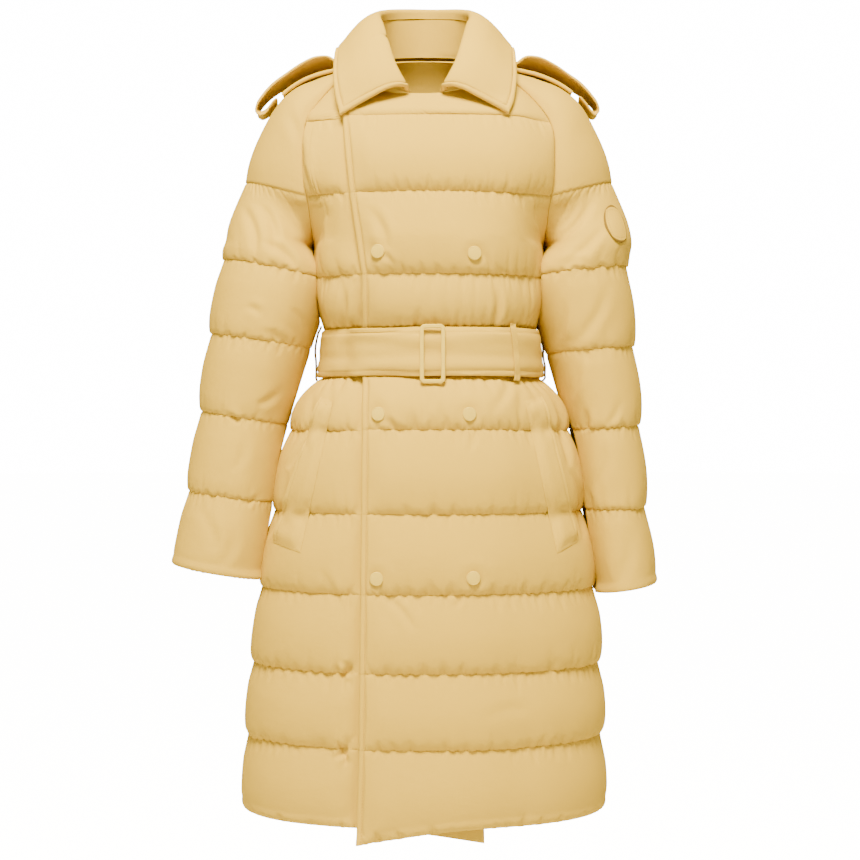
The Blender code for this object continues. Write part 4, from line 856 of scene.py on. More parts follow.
# Creases of the worn coat, seen from the front: from one end to the other, how deep and how wide.
CREASES = lengths(
    "x0 z0 x1 z1 depth width",
    (-234, -194, -214, -266, 2, 5),
    (-211, -194, -192, -258, 1.8, 5),
    (-209, -245, -162, -281, 3, 4.5),
    (-178, -73, -150, -190, 2.6, 6),
    (-174, -197, -150, -203, 2, 3),
    (-230, -329, -209, -339, 1.2, 5),
    (-173, -329, -158, -358, 2.2, 5),
    (-154, -144, -145, -178, 2, 4.5),
    (-217, -356, -166, -386, 1.2, 5),
    (-259, -460, -238, -481, 2, 4),
    (-177, -423, -217, -455, 1.8, 5),
    (-233, -489, -246, -543, 1, 6),
    (-211, -565, -233, -585, 1.6, 4),
    (-293, -583, -266, -642, 1, 7),
    (-246, -609, -259, -662, 1, 7),
    (219, -181, 161, -253, 2.6, 6),
    (233, -221, 164, -279, 2.2, 5),
    (200, -190, 165, -231, 2, 5),
    (164, -293, 206, -266, 2, 4.5),
    (233, -297, 193, -376, 1.4, 6),
    (180, -317, 169, -376, 1.6, 5),
    (210, -456, 206, -492, 2.4, 4),
    (211, -559, 214, -599, 2.6, 4),
    (249, -447, 233, -481, 1.2, 4),
    (233, -503, 219, -569, 1, 6),
    (259, -609, 249, -689, 1, 7),
    (200, -396, 188, -450, 1.4, 5),
    (-56, -473, -23, -497, 1.6, 4),
    (-55, -692, -12, -737, 1.6, 4.5),
    (60, -476, 55, -516, 1.3, 4),
    (49, -686, 36, -710, 1.3, 3.5),
    (78, -686, 92, -716, 1.3, 3.5),
    (-56, -261, -36, -282, 1.2, 3.5),
    (72, -263, 81, -285, 1, 3.5),
    (-106, -290, -102, -356, 3, 4.2),
    (87, -300, 80, -362, 3.4, 4),
    (112, -392, 82, -470, 1.6, 6),
    (-88, -768, -104, -798, 4.8, 4.2),
    (-103, -772, -88, -796, 3, 3.6),
    (-94, -866, -110, -900, 5, 4.2),
    (-110, -872, -96, -906, 3.6, 3.8),
    (-71, -205, -44, -262, 2.2, 6),
    (-81, -370, -70, -317, 1.2, 4),
    (7, -430, 1, -476, 1.2, 5),
    (106, -428, 116, -476, 1.2, 5),
    (-113, -428, -126, -481, 1.2, 5),
    (-84, -1029, -39, -982, 1.6, 7),
    (-73, -1037, -7, -1011, 1.3, 7),
    (60, -849, 126, -835, 0.8, 8),
    (-166, -769, -193, -795, 0.9, 7),
    (-126, -662, -110, -710, 1.2, 5),
    (153, -769, 188, -806, 1, 6),
    (-136.5, -442, -168, -540, 3.8, 4.2),
    (-168, -540, -199.5, -632, 3.8, 4.2),
    (153.5, -440.5, 177, -538, 3.8, 4.2),
    (177, -538, 199.5, -630, 3.8, 4.2),
)
SLEEVE_FOLDS, FRONT_FOLDS = 1.7, 1.4
INNER_STEP = 8  # the inner side keeps one row or column in this many
HEM_ROLL, EDGE_OUT = 0.0012, 0.0015  # how far the rolled hem or cuff, and the free edge, stand out
DIMPLE = 0.0016  # how far a snap draws the cloth in
DIMPLE_REACH = 0.0106
# Across a crease, in its widths: height, middle and width of the folds beside its valley.
FOLD_SIDES = ((0.55, 1.7, 1.1), (0.25, -1.9, 1.3))
FOLD_BOW = 0.08  # how far a crease bows, as a share of its length
FOLD_LATE, FOLD_BLUNT = 1.4, 0.8  # where along it it is deepest, and how bluntly it ends
# How full the channels have to be for creases and dimples, and how far forward they have to face.
FOLD_FULL, FOLD_FACING, FOLD_BACK = 1.4, 2, 0.02
DIMPLE_RIM = (0.45, 1.9, 0.6)  # height, radius and width of its rim, in its own depth and reach
NOISE = np.random.default_rng(7)


def refined(places, cell):
    """Places of fine rows or columns, and which of them are the coarse ones."""
    fine, kept = [places[0]], [0]
    for start, end in zip(places, places[1:]):
        parts = max(1, round((end - start) / cell))
        fine.extend(start + (end - start) * np.arange(1, parts + 1) / parts)
        kept.append(len(fine) - 1)
    return np.array(fine), np.array(kept)


def doubled(places):
    """The places with one more in the middle of each two."""
    return np.interp(np.arange(2 * len(places) - 1) / 2, np.arange(len(places)), places)


def spread_out(values, row_places, fine_rows, column_places, fine_columns):
    """A coarse grid read smoothly at the fine rows and columns."""
    down = along(values, row_places, fine_rows)
    return np.swapaxes(along(np.swapaxes(down, 0, 1), column_places, fine_columns), 0, 1)


def cumulative(points, axis):
    """How far each row (axis 0) or column (axis 1) lies along the grid, on average."""
    steps = np.linalg.norm(np.diff(points, axis=axis), axis=-1).mean(axis=1 - axis)
    return np.concatenate([[0.0], np.cumsum(np.maximum(steps, 0.0004))])


def channel_profile(t, upper):
    """Height of the bulge between two quilting lines, t from the upper one. It hangs a little."""
    low = t ** HANG
    arc = np.clip(1 - (2 * low - 1) ** 2, 0, 1)
    return np.where(low < 0.5, arc ** upper, arc ** LOWER_ROUND)


def smooth_noise(shape, cells, seed):
    """Noise between about -1 and 1 on a grid, smooth over some cells down and across."""
    chance = np.random.default_rng(seed)
    coarse = [max(4, int(math.ceil(count / size)) + 3) for count, size in zip(shape, cells)]
    grid = chance.uniform(-1, 1, coarse)
    places = [np.linspace(0, count - 1, fine) for count, fine in zip(coarse, shape)]
    return spread_out(grid, np.arange(coarse[0]), places[0], np.arange(coarse[1]), places[1])


def pair_slices(count, step, first, stride):
    number = len(range(first, count - abs(step), stride))
    if step >= 0:
        start_a, start_b = first, first + step
    else:
        start_a, start_b = first - step, first
    last = (number - 1) * stride + 1
    return number, slice(start_a, start_a + last, stride), slice(start_b, start_b + last, stride)


def pair_groups(shape):
    """Pairs of points of a grid, in groups in which no point comes twice."""
    groups = []
    for down, across, strength in STRETCH_PAIRS:
        stride_r = 2 * down if down else 1
        stride_c = 1 if down else 2 * across
        for first in range(2 * max(down, 0 if down else across)):
            first_r, first_c = (first, 0) if down else (0, first)
            number_r, a_r, b_r = pair_slices(shape[0], down, first_r, stride_r)
            number_c, a_c, b_c = pair_slices(shape[1], across, first_c, stride_c)
            if number_r > 0 and number_c > 0:
                lean = abs(across) / (abs(across) + down)
                groups.append(((a_r, a_c), (b_r, b_c), strength, lean))
    return groups


def relax(shell, smooth, panel, free, slack, steps):
    """Lets the shell settle: its threads pull, the down pushes it out, and its stitches hold."""
    base, normal, closed_from = panel.base, panel.normal, panel.closed_from
    highest = (panel.bulge + panel.swell) * HEAVE + HEAVE_MORE
    shell = shell.copy()
    groups = []
    for a, b, strength, lean in pair_groups(shell.shape[:2]):
        spare = [(values[a] + values[b]) / 2 for values in slack]
        spare = spare[0] * (1 - lean) + spare[1] * lean
        rest = np.linalg.norm(smooth[b] - smooth[a], axis=-1) * (1 + spare)
        weight = free[a] + free[b]
        share = np.where(weight > 0, strength / np.maximum(weight, 1e-9), 0.0)
        groups.append((a, b, rest, share * free[a], share * free[b]))
    before = shell.copy()
    for _ in range(steps):
        moved = (shell - before) * DAMPING
        before = shell.copy()
        down = shell[2:, 1:-1] - shell[:-2, 1:-1]
        over = shell[1:-1, 2:] - shell[1:-1, :-2]
        facing = unit(np.cross(down, over))
        facing *= np.sign((facing * normal[1:-1, 1:-1]).sum(axis=-1))[..., None]
        shell += moved * free[..., None]
        shell[1:-1, 1:-1] += facing * (PRESSURE * free[1:-1, 1:-1])[..., None]
        shell[..., 2] -= SAG * free
        for a, b, rest, share_a, share_b in groups:
            gap = shell[b] - shell[a]
            length = np.sqrt((gap * gap).sum(axis=-1))
            pull = 1 - rest / np.maximum(length, 1e-7)
            shell[a] += gap * (pull * share_a)[..., None]
            shell[b] -= gap * (pull * share_b)[..., None]
        out = ((shell - base) * normal).sum(axis=-1)
        fixed = np.clip(out, 0.0, highest) - out
        shell += normal * (fixed * free)[..., None]
        if closed_from is not None:
            joined = (shell[closed_from:, 0] + shell[closed_from:, -1]) / 2
            shell[closed_from:, 0] = shell[closed_from:, -1] = joined
    return shell


class Panel:
    """A quilted panel at one fineness: its cut, its smooth bulge, and what holds it."""

    def __init__(self, name, cell_rows, cell_columns, line_numbers):
        made = cut[name]
        points, lift, full, swell = made[:4]
        self.row_places, self.column_places = cumulative(points, 0), cumulative(points, 1)
        self.rows, self.columns = cell_rows, cell_columns
        spread = lambda values: spread_out(
            values, self.row_places, self.rows, self.column_places, self.columns
        )
        self.normal = unit(spread(cut_normals[name]))
        self.base = spread(points)
        self.sleeve_side = {"sleeve_left": 1, "sleeve_right": -1}.get(name)
        self.lines = line_numbers
        if self.sleeve_side:
            self.closed_from = int(np.searchsorted(self.rows, self.row_places[UNDERARM] - 1e-9))
            keep_off_body(self.base[self.closed_from + 1:], self.sleeve_side)
        else:
            self.closed_from = None
        self.base = self.base + self.normal * spread(lift)[..., None]
        self.full = np.clip(spread(full), 0, 1)
        self.swell = np.clip(spread(swell), 0, 1)
        self.bulge = np.zeros(self.full.shape)
        self.line_gap = np.full(self.full.shape, 1.0)
        self.share = np.zeros(self.full.shape)
        run = np.linalg.norm(np.diff(self.base, axis=0), axis=-1)
        run = np.concatenate([np.zeros((1, run.shape[1])), np.cumsum(run, axis=0)])
        to_end = run[-1] - run
        self.swell += SEAT * (1 - smooth_step(to_end, 0.0, SEAT_DEPTH)) * (self.full > 0)
        for top, bottom in zip(self.lines, self.lines[1:]):
            length = np.maximum(run[bottom] - run[top], 1e-6)
            t = (run[top:bottom + 1] - run[top]) / length
            height = SLEEVE_RISE if self.sleeve_side else BODY_RISE
            if top == 0:
                height *= NECK_RISE
            below_belt = not self.sleeve_side and is_flat(self, top - 8, top)
            profile = channel_profile(t, BELOW_BELT if below_belt else UPPER_ROUND)
            self.bulge[top:bottom + 1] = profile * height * self.full[top:bottom + 1]
            self.share[top + 1:bottom] = t[1:-1]
            gap = np.minimum(t, 1 - t) * length
            self.line_gap[top:bottom + 1] = np.minimum(self.line_gap[top:bottom + 1], gap)
        self.run = run


def settled(name):
    """The shell of a panel at its full fineness, with the base that it lies on."""
    points = cut[name][0]
    cell = BACK_CELL if name == "back" else CELL
    row_cells, kept_rows = refined(cumulative(points, 0), cell)
    column_cells, _ = refined(cumulative(points, 1), cell)
    if name.startswith("sleeve"):
        puffs = cut[name][4]
        numbers = [k for k, puff in enumerate(puffs[:-1]) if puff == 0.0] + [len(puffs) - 1]
    else:
        numbers = line_rows
    lines = kept_rows[numbers]
    shell, rough = None, None
    for level, steps in enumerate(RELAX_STEPS):
        if level:
            rough_rows, rough_columns = row_cells, column_cells
            at_lines = row_cells[lines]
            row_cells = doubled(row_cells)
            close = [at_lines[1:-1] + step for step in LINE_STEPS]
            row_cells = np.unique(np.concatenate([row_cells, at_lines[1:] - TURN_STEP, *close]))
            lines = np.searchsorted(row_cells, at_lines - 1e-9)
            column_cells = doubled(column_cells)
            if name == "front_over":
                column_cells = np.unique(np.concatenate([column_cells, EDGE_ROLL["distance"]]))
                column_cells = column_cells[np.append(True, np.diff(column_cells) > LEAST_CELL)]
        panel = Panel(name, row_cells, column_cells, lines)
        smooth = panel.base + panel.normal * (panel.bulge + panel.swell)[..., None]
        free = np.ones(panel.full.shape)
        free[lines] = 0.0
        free[:, [0, -1]] = 0.0
        if panel.closed_from is not None:
            free[panel.closed_from:, [0, -1]] = 1.0
            free[lines] = 0.0
        free[panel.full < STITCHED_FLAT] = 0.0
        if name == "front_over":
            free[:, panel.columns <= panel.column_places[1] + 1e-6] = 0.0
        for top, bottom in zip(lines, lines[1:]):
            if panel.bulge[top:bottom + 1].max() < 1e-6 or is_flat(panel, top, bottom):
                free[top:bottom + 1] = 0.0
        start = smooth
        if level:
            change = spread_out(shell - rough, rough_rows, row_cells, rough_columns, column_cells)
            start = smooth + change
        slack = slack_of(panel, smooth, name)
        tremble = NOISE.normal(0.0, TREMBLE, panel.full.shape) * free
        start = start + panel.normal * tremble[..., None]
        shell = relax(start, smooth, panel, free, slack, steps)
        rough = smooth
    panel.shell = shell + droop(panel, name) + creased(panel)
    if name == "front_over":
        rise = np.interp(panel.columns, EDGE_ROLL["distance"], EDGE_ROLL["rise"])
        panel.shell += panel.normal * rise[None, :, None]
    return panel


def droop(panel, name):
    """How the down hangs over each quilting line: in lobes, with a gather between each two."""
    down = unit(np.gradient(panel.base, axis=0))
    t = panel.share
    low = smooth_step(t, *LOBE_ROWS[:2])
    low *= np.minimum(1.0, (np.clip(1 - t, 0, 1) / LOBE_ROWS[2])) ** 0.5
    lobes, gathers = np.zeros(t.shape), np.zeros(t.shape)
    chance = np.random.default_rng(29 + len(name))
    for top, bottom in zip(panel.lines, panel.lines[1:]):
        widths = chance.uniform(*LOBE_WIDTH, 200)
        ends = np.cumsum(widths) + LOBE_START
        heights = chance.uniform(0.2, 1.0, 200) ** 2
        number = np.searchsorted(ends, panel.columns)
        through = np.abs(np.sin(math.pi * (ends[number] - panel.columns) / widths[number]))
        if top == 0 or bottom == len(panel.base) - 1:
            continue
        lobes[top:bottom] = heights[number] * through ** 0.6
        gathers[top:bottom] = (1 - through) ** 3 * (0.4 + 0.6 * heights[number])
    if not panel.sleeve_side:
        calm, start, end = LOBE_CALM
        calm += (1 - calm) * smooth_step(np.abs(panel.base[..., 0]), start, end)
        lobes, gathers = lobes * calm, gathers * calm
    change = down * (DROOP * lobes * low * panel.full)[..., None]
    return change - panel.normal * (GATHER * gathers * low * panel.full)[..., None]


def creased(panel):
    """Lays the listed creases of the fronts and sleeves into a panel's shell."""
    out = np.zeros(panel.full.shape)
    x, z = panel.base[..., 0], panel.base[..., 2]
    facing = np.clip(-panel.normal[..., 1] * FOLD_FACING, 0, 1)
    facing *= panel.base[..., 1] < FOLD_BACK
    for x0, z0, x1, z1, depth, width in zip(*CREASES.values()):
        depth *= SLEEVE_FOLDS if panel.sleeve_side else FRONT_FOLDS
        length = math.hypot(x1 - x0, z1 - z0)
        ahead = np.array([x1 - x0, z1 - z0]) / length
        share = ((x - x0) * ahead[0] + (z - z0) * ahead[1]) / length
        bow = FOLD_BOW * length * np.sin(math.pi * np.clip(share, 0, 1))
        aside = ((z - z0) * ahead[0] - (x - x0) * ahead[1] - bow) / width
        taper = np.sin(math.pi * np.clip(share, 0.0, 1.0) ** FOLD_LATE) ** FOLD_BLUNT
        fold = -np.exp(-aside**2)
        for rise, middle, wide in FOLD_SIDES:
            fold += rise * np.exp(-((aside - middle) / wide) ** 2)
        out += depth * fold * taper * ((share > 0) & (share < 1))
    if not panel.sleeve_side:
        for snap_x, snap_z in zip(SNAPS["x"], SNAPS["z"]):
            away = np.hypot(x - snap_x, z - snap_z) / DIMPLE_REACH
            rise, radius, wide = DIMPLE_RIM
            out += DIMPLE * (rise * np.exp(-((away - radius) / wide) ** 2) - np.exp(-away**4))
    return panel.normal * (out * facing * np.clip(panel.full * FOLD_FULL, 0, 1))[..., None]


def is_flat(panel, top, bottom):
    """Whether a channel is the flat stretch under the belt."""
    if panel.sleeve_side:
        return False
    height = panel.base[(top + bottom) // 2, panel.base.shape[1] // 2, 2]
    return FLAT_STRETCH[1] < height < FLAT_STRETCH[0]


def slack_of(panel, smooth, name):
    """Spare length of the shell, down and across, at each point."""
    width = np.linalg.norm(np.gradient(smooth, axis=1), axis=-1)
    narrow = np.linalg.norm(np.gradient(panel.base, axis=1), axis=-1)
    swell = width / np.maximum(narrow, 1e-6)
    across = np.zeros_like(swell)
    for top, bottom in zip(panel.lines, panel.lines[1:]):
        part = swell[top:bottom + 1]
        across[top:bottom + 1] = np.clip(part.max(axis=0) / part - 1, 0, WIDEST_SPARE)
    shape = swell.shape
    cells = [max(2, int(size / (panel.rows[-1] / panel.rows.size))) for size in WIDE_CELLS]
    patchy = PATCHY + PATCHY * smooth_noise(shape, cells, 11 + len(name))
    patchy = np.clip(patchy, LEAST_PATCHY, MOST_PATCHY)
    near_belt = np.zeros(shape)
    if not panel.sleeve_side:
        z = panel.base[..., 2]
        near_belt = sum(np.exp(-((z - end) / WAIST_REACH) ** 2) for end in FLAT_STRETCH)
    by_line = np.exp(-panel.line_gap / LINE_REACH)
    spare, bulge = LINE_SLACK
    across = across * (bulge + (1 - bulge) * by_line)
    by_line[:panel.lines[1] + 3] *= NECK_RISE
    across += (SLACK * (spare + (1 - spare) * by_line) + WAIST_SLACK * near_belt) * patchy
    return SLACK_DOWN * patchy, across


def wall_mesh(name, outer, inner, kept, uv, fields, closed_from=None, roll=(0, 0, 0, 0)):
    """A closed wall between two fine grids. Only the kept rows and columns cross the inner one.

    roll is how far the edge stands out between the two, at the first and last row and column.
    """
    rows, columns = outer.shape[:2]
    index = np.arange(rows * columns).reshape(rows, columns)
    if closed_from is not None:
        index[closed_from:, -1] = index[closed_from:, 0]
    open_until = rows - 1 if closed_from is None else closed_from
    r, c = np.meshgrid(np.arange(rows - 1), np.arange(columns - 1), indexing="ij")
    corner_r = np.stack([r, r + 1, r + 1, r], axis=-1).reshape(-1, 4)
    corner_c = np.stack([c, c, c + 1, c + 1], axis=-1).reshape(-1, 4)
    faces = index[corner_r, corner_c].tolist()
    places = np.stack([corner_r, corner_c], axis=-1).reshape(-1, 2).tolist()
    under = rows * columns

    def side(r0, c0, r1, c1):
        level = r0 == r1 and r0 in (0, rows - 1)
        upright = c0 == c1 and c0 in (0, columns - 1) and max(r0, r1) <= open_until
        count = max(abs(r1 - r0), abs(c1 - c0)) if level or upright else 1
        return [(r0 + (r1 - r0) * i // count, c0 + (c1 - c0) * i // count) for i in range(count)]

    kept_rows, kept_columns = kept
    for top, bottom in zip(kept_rows, kept_rows[1:]):
        for left, right in zip(kept_columns, kept_columns[1:]):
            corners = side(top, left, top, right) + side(top, right, bottom, right)
            corners += side(bottom, right, bottom, left) + side(bottom, left, top, left)
            faces.append([int(index[p]) + under for p in corners])
            places += corners
    border = [((0, c + 1), (0, c)) for c in range(columns - 1)]
    border += [((rows - 1, c), (rows - 1, c + 1)) for c in range(columns - 1)]
    border += [((r, 0), (r + 1, 0)) for r in range(open_until)]
    border += [((r + 1, columns - 1), (r, columns - 1)) for r in range(open_until)]
    points = np.concatenate([outer.reshape(-1, 3), inner.reshape(-1, 3)])
    between, extra, extra_of = {}, [], []

    def middle(place):
        number = int(index[place])
        if number not in between:
            r, c = place
            step = np.zeros(3)
            inside = (
                (r == 0, 1, 0), (r == rows - 1, -1, 0), (c == 0, 0, 1), (c == columns - 1, 0, -1)
            )
            for amount, (on, dr, dc) in zip(roll, inside):
                if on and amount:
                    step += amount * unit(outer[r, c] - outer[r + dr, c + dc])
            between[number] = 2 * under + len(extra)
            extra.append((outer[r, c] + inner[r, c]) / 2 + step)
            extra_of.append(number)
        return between[number]

    for a, b in border:
        upper = [int(index[b]), int(index[a]), middle(a), middle(b)]
        lower = [upper[3], upper[2], upper[1] + under, upper[0] + under]
        faces += [upper, lower]
        places += [b, a, a, b, b, a, a, b]
    points = np.concatenate([points, np.array(extra)])
    used = np.zeros(len(points), bool)
    for face in faces:
        used[face] = True
    renumber = np.cumsum(used) - 1
    faces = [renumber[face].tolist() for face in faces]
    mesh = bpy.data.meshes.new(name)
    mesh.from_pydata(points[used].tolist(), [], faces)
    for field, values in fields.items():
        flat = np.asarray(values, float).reshape(-1)
        flat = np.concatenate([flat, flat, flat[extra_of]])[used]
        mesh.attributes.new(field, "FLOAT", "POINT").data.foreach_set("value", flat)
    places = np.array(places)
    layer = mesh.uv_layers.new(name="cloth")
    layer.data.foreach_set("uv", uv[places[:, 0], places[:, 1]].reshape(-1))
    mesh.calc_loop_triangles()
    triangles = np.zeros(len(mesh.loop_triangles) * 3, int)
    mesh.loop_triangles.foreach_get("vertices", triangles)
    corners = points[used][triangles.reshape(-1, 3)]
    if (corners[:, 0] * np.cross(corners[:, 1], corners[:, 2])).sum() < 0:
        mesh.flip_normals()
    mesh.shade_smooth()
    mesh.set_sharp_from_angle(angle=math.radians(60))
    mesh.materials.append(shell_cloth)
    return put_in(bpy.data.objects.new(name, mesh))


def kept_numbers(count, also=()):
    """Numbers of the rows or columns that the inner side of a wall keeps."""
    return sorted({*range(0, count, INNER_STEP), count - 1, *also})


def panel_piece(name):
    panel = settled(name)
    outer, inner = panel.shell, panel.base - panel.normal * WALL
    closed = panel.closed_from
    if closed is None:
        outer, inner = draw_in(outer), draw_in(inner)
    else:
        outer[:closed + 1] = draw_in(outer, amount=SLEEVE_DRAW)[:closed + 1]
        inner[:closed + 1] = draw_in(inner, amount=SLEEVE_DRAW)[:closed + 1]
        for grid in (outer, inner):
            joined = (grid[closed, 0] + grid[closed, -1]) / 2
            joined[0] += math.copysign(UNDERARM_DRAW, joined[0])
            grid[closed, 0] = grid[closed, -1] = joined
            inside = (grid[closed + 1:, 0] + grid[closed + 1:, -1]) / 2
            grid[closed + 1:, 0] = grid[closed + 1:, -1] = inside
    rows, columns = outer.shape[:2]
    uv = np.stack(np.meshgrid(panel.columns, panel.rows), axis=-1)
    sewn = np.full((rows, columns), 1.0)
    along_edge = np.repeat(panel.rows[:, None], columns, axis=1)
    if name == "front_over":
        sewn = np.repeat((panel.columns - panel.columns[0])[None], rows, axis=0)
    fields = {
        "line_distance": np.minimum(panel.line_gap, 0.1), "line_run": uv[..., 0],
        "sewn_distance": sewn, "sewn_run": along_edge,
    }
    kept = (
        kept_numbers(rows, [] if closed is None else [closed]), kept_numbers(columns),
    )
    roll = (0.0, HEM_ROLL, EDGE_OUT if name == "front_over" else 0.0, 0.0)
    made = wall_mesh(name + "_shell", outer, inner, kept, uv, fields, closed, roll)
    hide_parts(name)
    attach(made, "root")
    return made


shells = {name: panel_piece(name) for name in cut}


# ---- Collar and collar stand -----------------------------------------------------------------
# The stand is sewn into the neck seam. The leaf is sewn to its top, rolls over it and lies on the
# coat, two layers of cloth with a rolled, topstitched edge.

COLLAR = table(
    "share roll_x roll_y roll_z edge_x edge_y edge_z",
    (0.00, 0.024, -0.112, -0.053, 0.105, -0.1145, -0.090),
    (0.10, 0.030, -0.112, -0.042, 0.112, -0.106, -0.072),
    (0.25, 0.040, -0.102, -0.020, 0.117, -0.090, -0.042),
    (0.40, 0.048, -0.082, 0.008, 0.118, -0.062, -0.016),
    (0.55, 0.056, -0.046, 0.038, 0.117, -0.022, 0.010),
    (0.70, 0.062, 0.000, 0.062, 0.115, 0.028, 0.013),
    (0.85, 0.048, 0.052, 0.078, 0.088, 0.088, -0.002),
    (1.00, 0.000, 0.078, 0.084, 0.000, 0.126, -0.008),
)
# Across the leaf, from the roll to the free edge: how far it bulges out and up.
LEAF = table("share rise", (0.10, 0.0042), (0.25, 0.0063), (0.50, 0.0056), (0.75, 0.0028), (1, 0))
COLLAR_START_X = 0.020
COLLAR_CLEARANCE = 0.0032
COLLAR_HALF = 0.003  # half the thickness of the collar's leaf
COLLAR_LAY = 0.0008  # how far its finished leaf stays off the shell
STAND_HALF = 0.002
STAND_FOOT = 0.0045  # the stand's foot above the neck seam's middle line
STAND_RAISE = 0.0045  # and further above it in front, over the lapped edges
STAND_FALL = (0.15, 0.40)  # up to here along the neck, where it has come down
NECK_POINTS = 12  # along each of the neck line's three parts
ROLL_DEPTH = 0.012  # how far down inside the neck the leaf reaches before it rolls over
ROLL_SHARE = 0.45  # and at most this share of the stand's height
LEAF_START = 0.08  # the leaf starts this share of the roll above the stand's top
COLLAR_STATIONS = 15  # from a front end to the middle of the back
SHEET_CELL = 0.0028
FLUSH_REACH, FLUSH_SHARE = 0.012, 0.10  # over what width a sheet runs out, and how thin it ends
# From a rolled edge inwards: the distance and the share of the full thickness there.
RIM = table(
    "distance thickness",
    (0.0, 0.28), (0.0005, 0.70), (0.0013, 0.98), (0.0030, 1.12), (0.0050, 1.04),
    (TOPSTITCH, 0.55), (0.0082, 0.92), (0.0105, 1.0),
)


def grid_normals(points):
    """Normals of a grid, all on one side of it."""
    return unit(np.cross(np.gradient(points, axis=0), np.gradient(points, axis=1)))


def tree_of(objects):
    """The surfaces of several objects, to lay other pieces on."""
    vertices, faces = [], []
    for made in objects:
        start = len(vertices)
        vertices += [v.co.copy() for v in made.data.vertices]
        faces += [[start + v for v in face.vertices] for face in made.data.polygons]
    return BVHTree.FromPolygons(vertices, faces)


LAY_REACH = 0.015  # a piece is moved out by less than this to lie on what is under it


def lay_on(points, tree, clearance):
    """Moves the points that are too near what lies under them out to the clearance."""
    flat = points.reshape(-1, 3)
    clearances = np.broadcast_to(clearance, points.shape[:-1]).reshape(-1)
    for i, point in enumerate(flat):
        for _ in range(3):
            place, normal, _, _ = tree.find_nearest(Vector(point))
            normal = np.array(normal)
            short = clearances[i] - float(np.dot(point - np.array(place), normal))
            if not 0 < short < LAY_REACH:
                break
            point = point + normal * short
        flat[i] = point
    return flat.reshape(points.shape)


def neck_line():
    """The neck seam from the front middle, over the wearer's left shoulder, to the back middle."""
    shares = np.linspace(0.0, 1.0, NECK_POINTS)
    front = [neck_point(rows[0], share) for share in shares]
    back = [row_point(rows[0], share, 1) for share in shares[::-1]]
    return np.array(front + [tuple(p) for p in arch(0, shares)[1:]] + back[1:])


def at_length(line, lengths):
    """Points of a line at the given shares of its length."""
    steps = np.linalg.norm(np.diff(line, axis=0), axis=1)
    places = np.concatenate([[0], np.cumsum(steps)]) / steps.sum()
    return np.stack([np.interp(lengths, places, line[:, axis]) for axis in range(3)], axis=-1)


def mirrored(half):
    """A line of stations from one end to the middle of the back, and on to the other end."""
    other = half[:-1][::-1] * np.array([-1, 1, 1])
    return np.concatenate([half, other])


def sheet_piece(name, node, base, half, rims="news", laid=None,
                rumple=0.0004, folds=(0.03, 0.03), seed=1, flush="", edging=None):
    """A sewn sheet of two layers round a coarse middle grid. rims names its rolled edges and flush
    those that run out flat: n and s are the first and last row, w and e the first and last
    column. rumple is how uneven it is and folds the size of that, down and across. laid is what it
    lies on and how far off, and edging the finish and the width of a band sewn round the edge."""
    row_places, column_places = cumulative(base, 0), cumulative(base, 1)
    rows, columns = (refined(places, SHEET_CELL)[0] for places in (row_places, column_places))
    edges = RIM["distance"]
    rows, columns = (
        np.unique(np.round(np.concatenate([places, places[0] + edges, places[-1] - edges]), 6))
        for places in (rows, columns)
    )
    middle = spread_out(base, row_places, rows, column_places, columns)
    shape = middle.shape[:2]
    cells = [max(2, int(size / (places[-1] / places.size))) for size, places in
             zip(folds, (rows, columns))]
    middle = middle + grid_normals(middle) * (rumple * smooth_noise(shape, cells, seed))[..., None]
    far, thin = np.full(shape, 1.0), np.full(shape, 1.0)
    run = np.zeros(shape)
    down, across = rows[:, None], columns[None]
    for rim, distance, ahead in (
        ("n", down - rows[0], across), ("s", rows[-1] - down, across),
        ("w", across - columns[0], down), ("e", columns[-1] - across, down),
    ):
        if rim in rims:
            nearer = distance < far
            far = np.where(nearer, distance, far)
            run = np.where(nearer, ahead, run)
        if rim in flush:
            thin = np.minimum(thin, np.interp(distance, (0.0, FLUSH_REACH), (FLUSH_SHARE, 1.0)))
    thickness = half * np.interp(far, RIM["distance"], RIM["thickness"]) * thin
    if laid:
        middle = lay_on(middle, laid[0], half * thin + laid[1])
    normal = grid_normals(middle)
    outer, inner = (middle + normal * (sign * thickness)[..., None] for sign in (1, -1))
    uv = np.stack(np.meshgrid(columns, rows), axis=-1)
    fields = {
        "line_distance": np.ones(shape), "line_run": run, "sewn_distance": far, "sewn_run": run,
    }
    made = wall_mesh(name, outer, inner, [range(count) for count in shape], uv, fields)
    if edging:
        made.data.materials.append(edging[0])
        inward = made.data.attributes["sewn_distance"].data
        for face in made.data.polygons:
            if np.mean([inward[number].value for number in face.vertices]) < edging[1]:
                face.material_index = 1
    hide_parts(node)
    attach(made, "root")
    return made


shell_tree = tree_of(shells.values())
stations = np.linspace(0.0, 1.0, COLLAR_STATIONS)
places = np.concatenate([COLLAR["share"], 2 - COLLAR["share"][-2::-1]])
curves = {}
for column in COLLAR:
    far_half = COLLAR[column][-2::-1] * (-1 if column.endswith("_x") else 1)
    curves[column] = along(np.concatenate([COLLAR[column], far_half]), places, stations)
roll_line, leaf_edge = (
    np.stack([curves[line + axis] for axis in AXES], axis=-1) for line in ("roll", "edge")
)
neck = neck_line()
start = np.interp(COLLAR_START_X, neck[:NECK_POINTS, 0], np.arange(NECK_POINTS))
start = float(start) / (len(neck) - 1)
seam = at_length(neck, start + (1 - start) * stations)
seam[:, 2] += STAND_RAISE * (1 - smooth_step(stations, *STAND_FALL))
up = roll_line - seam
height = np.linalg.norm(up, axis=1)[:, None]
seam = seam + up / height * STAND_FOOT
joint = roll_line - up / height * np.minimum(ROLL_DEPTH, ROLL_SHARE * height)
leaf = leaf_edge - roll_line
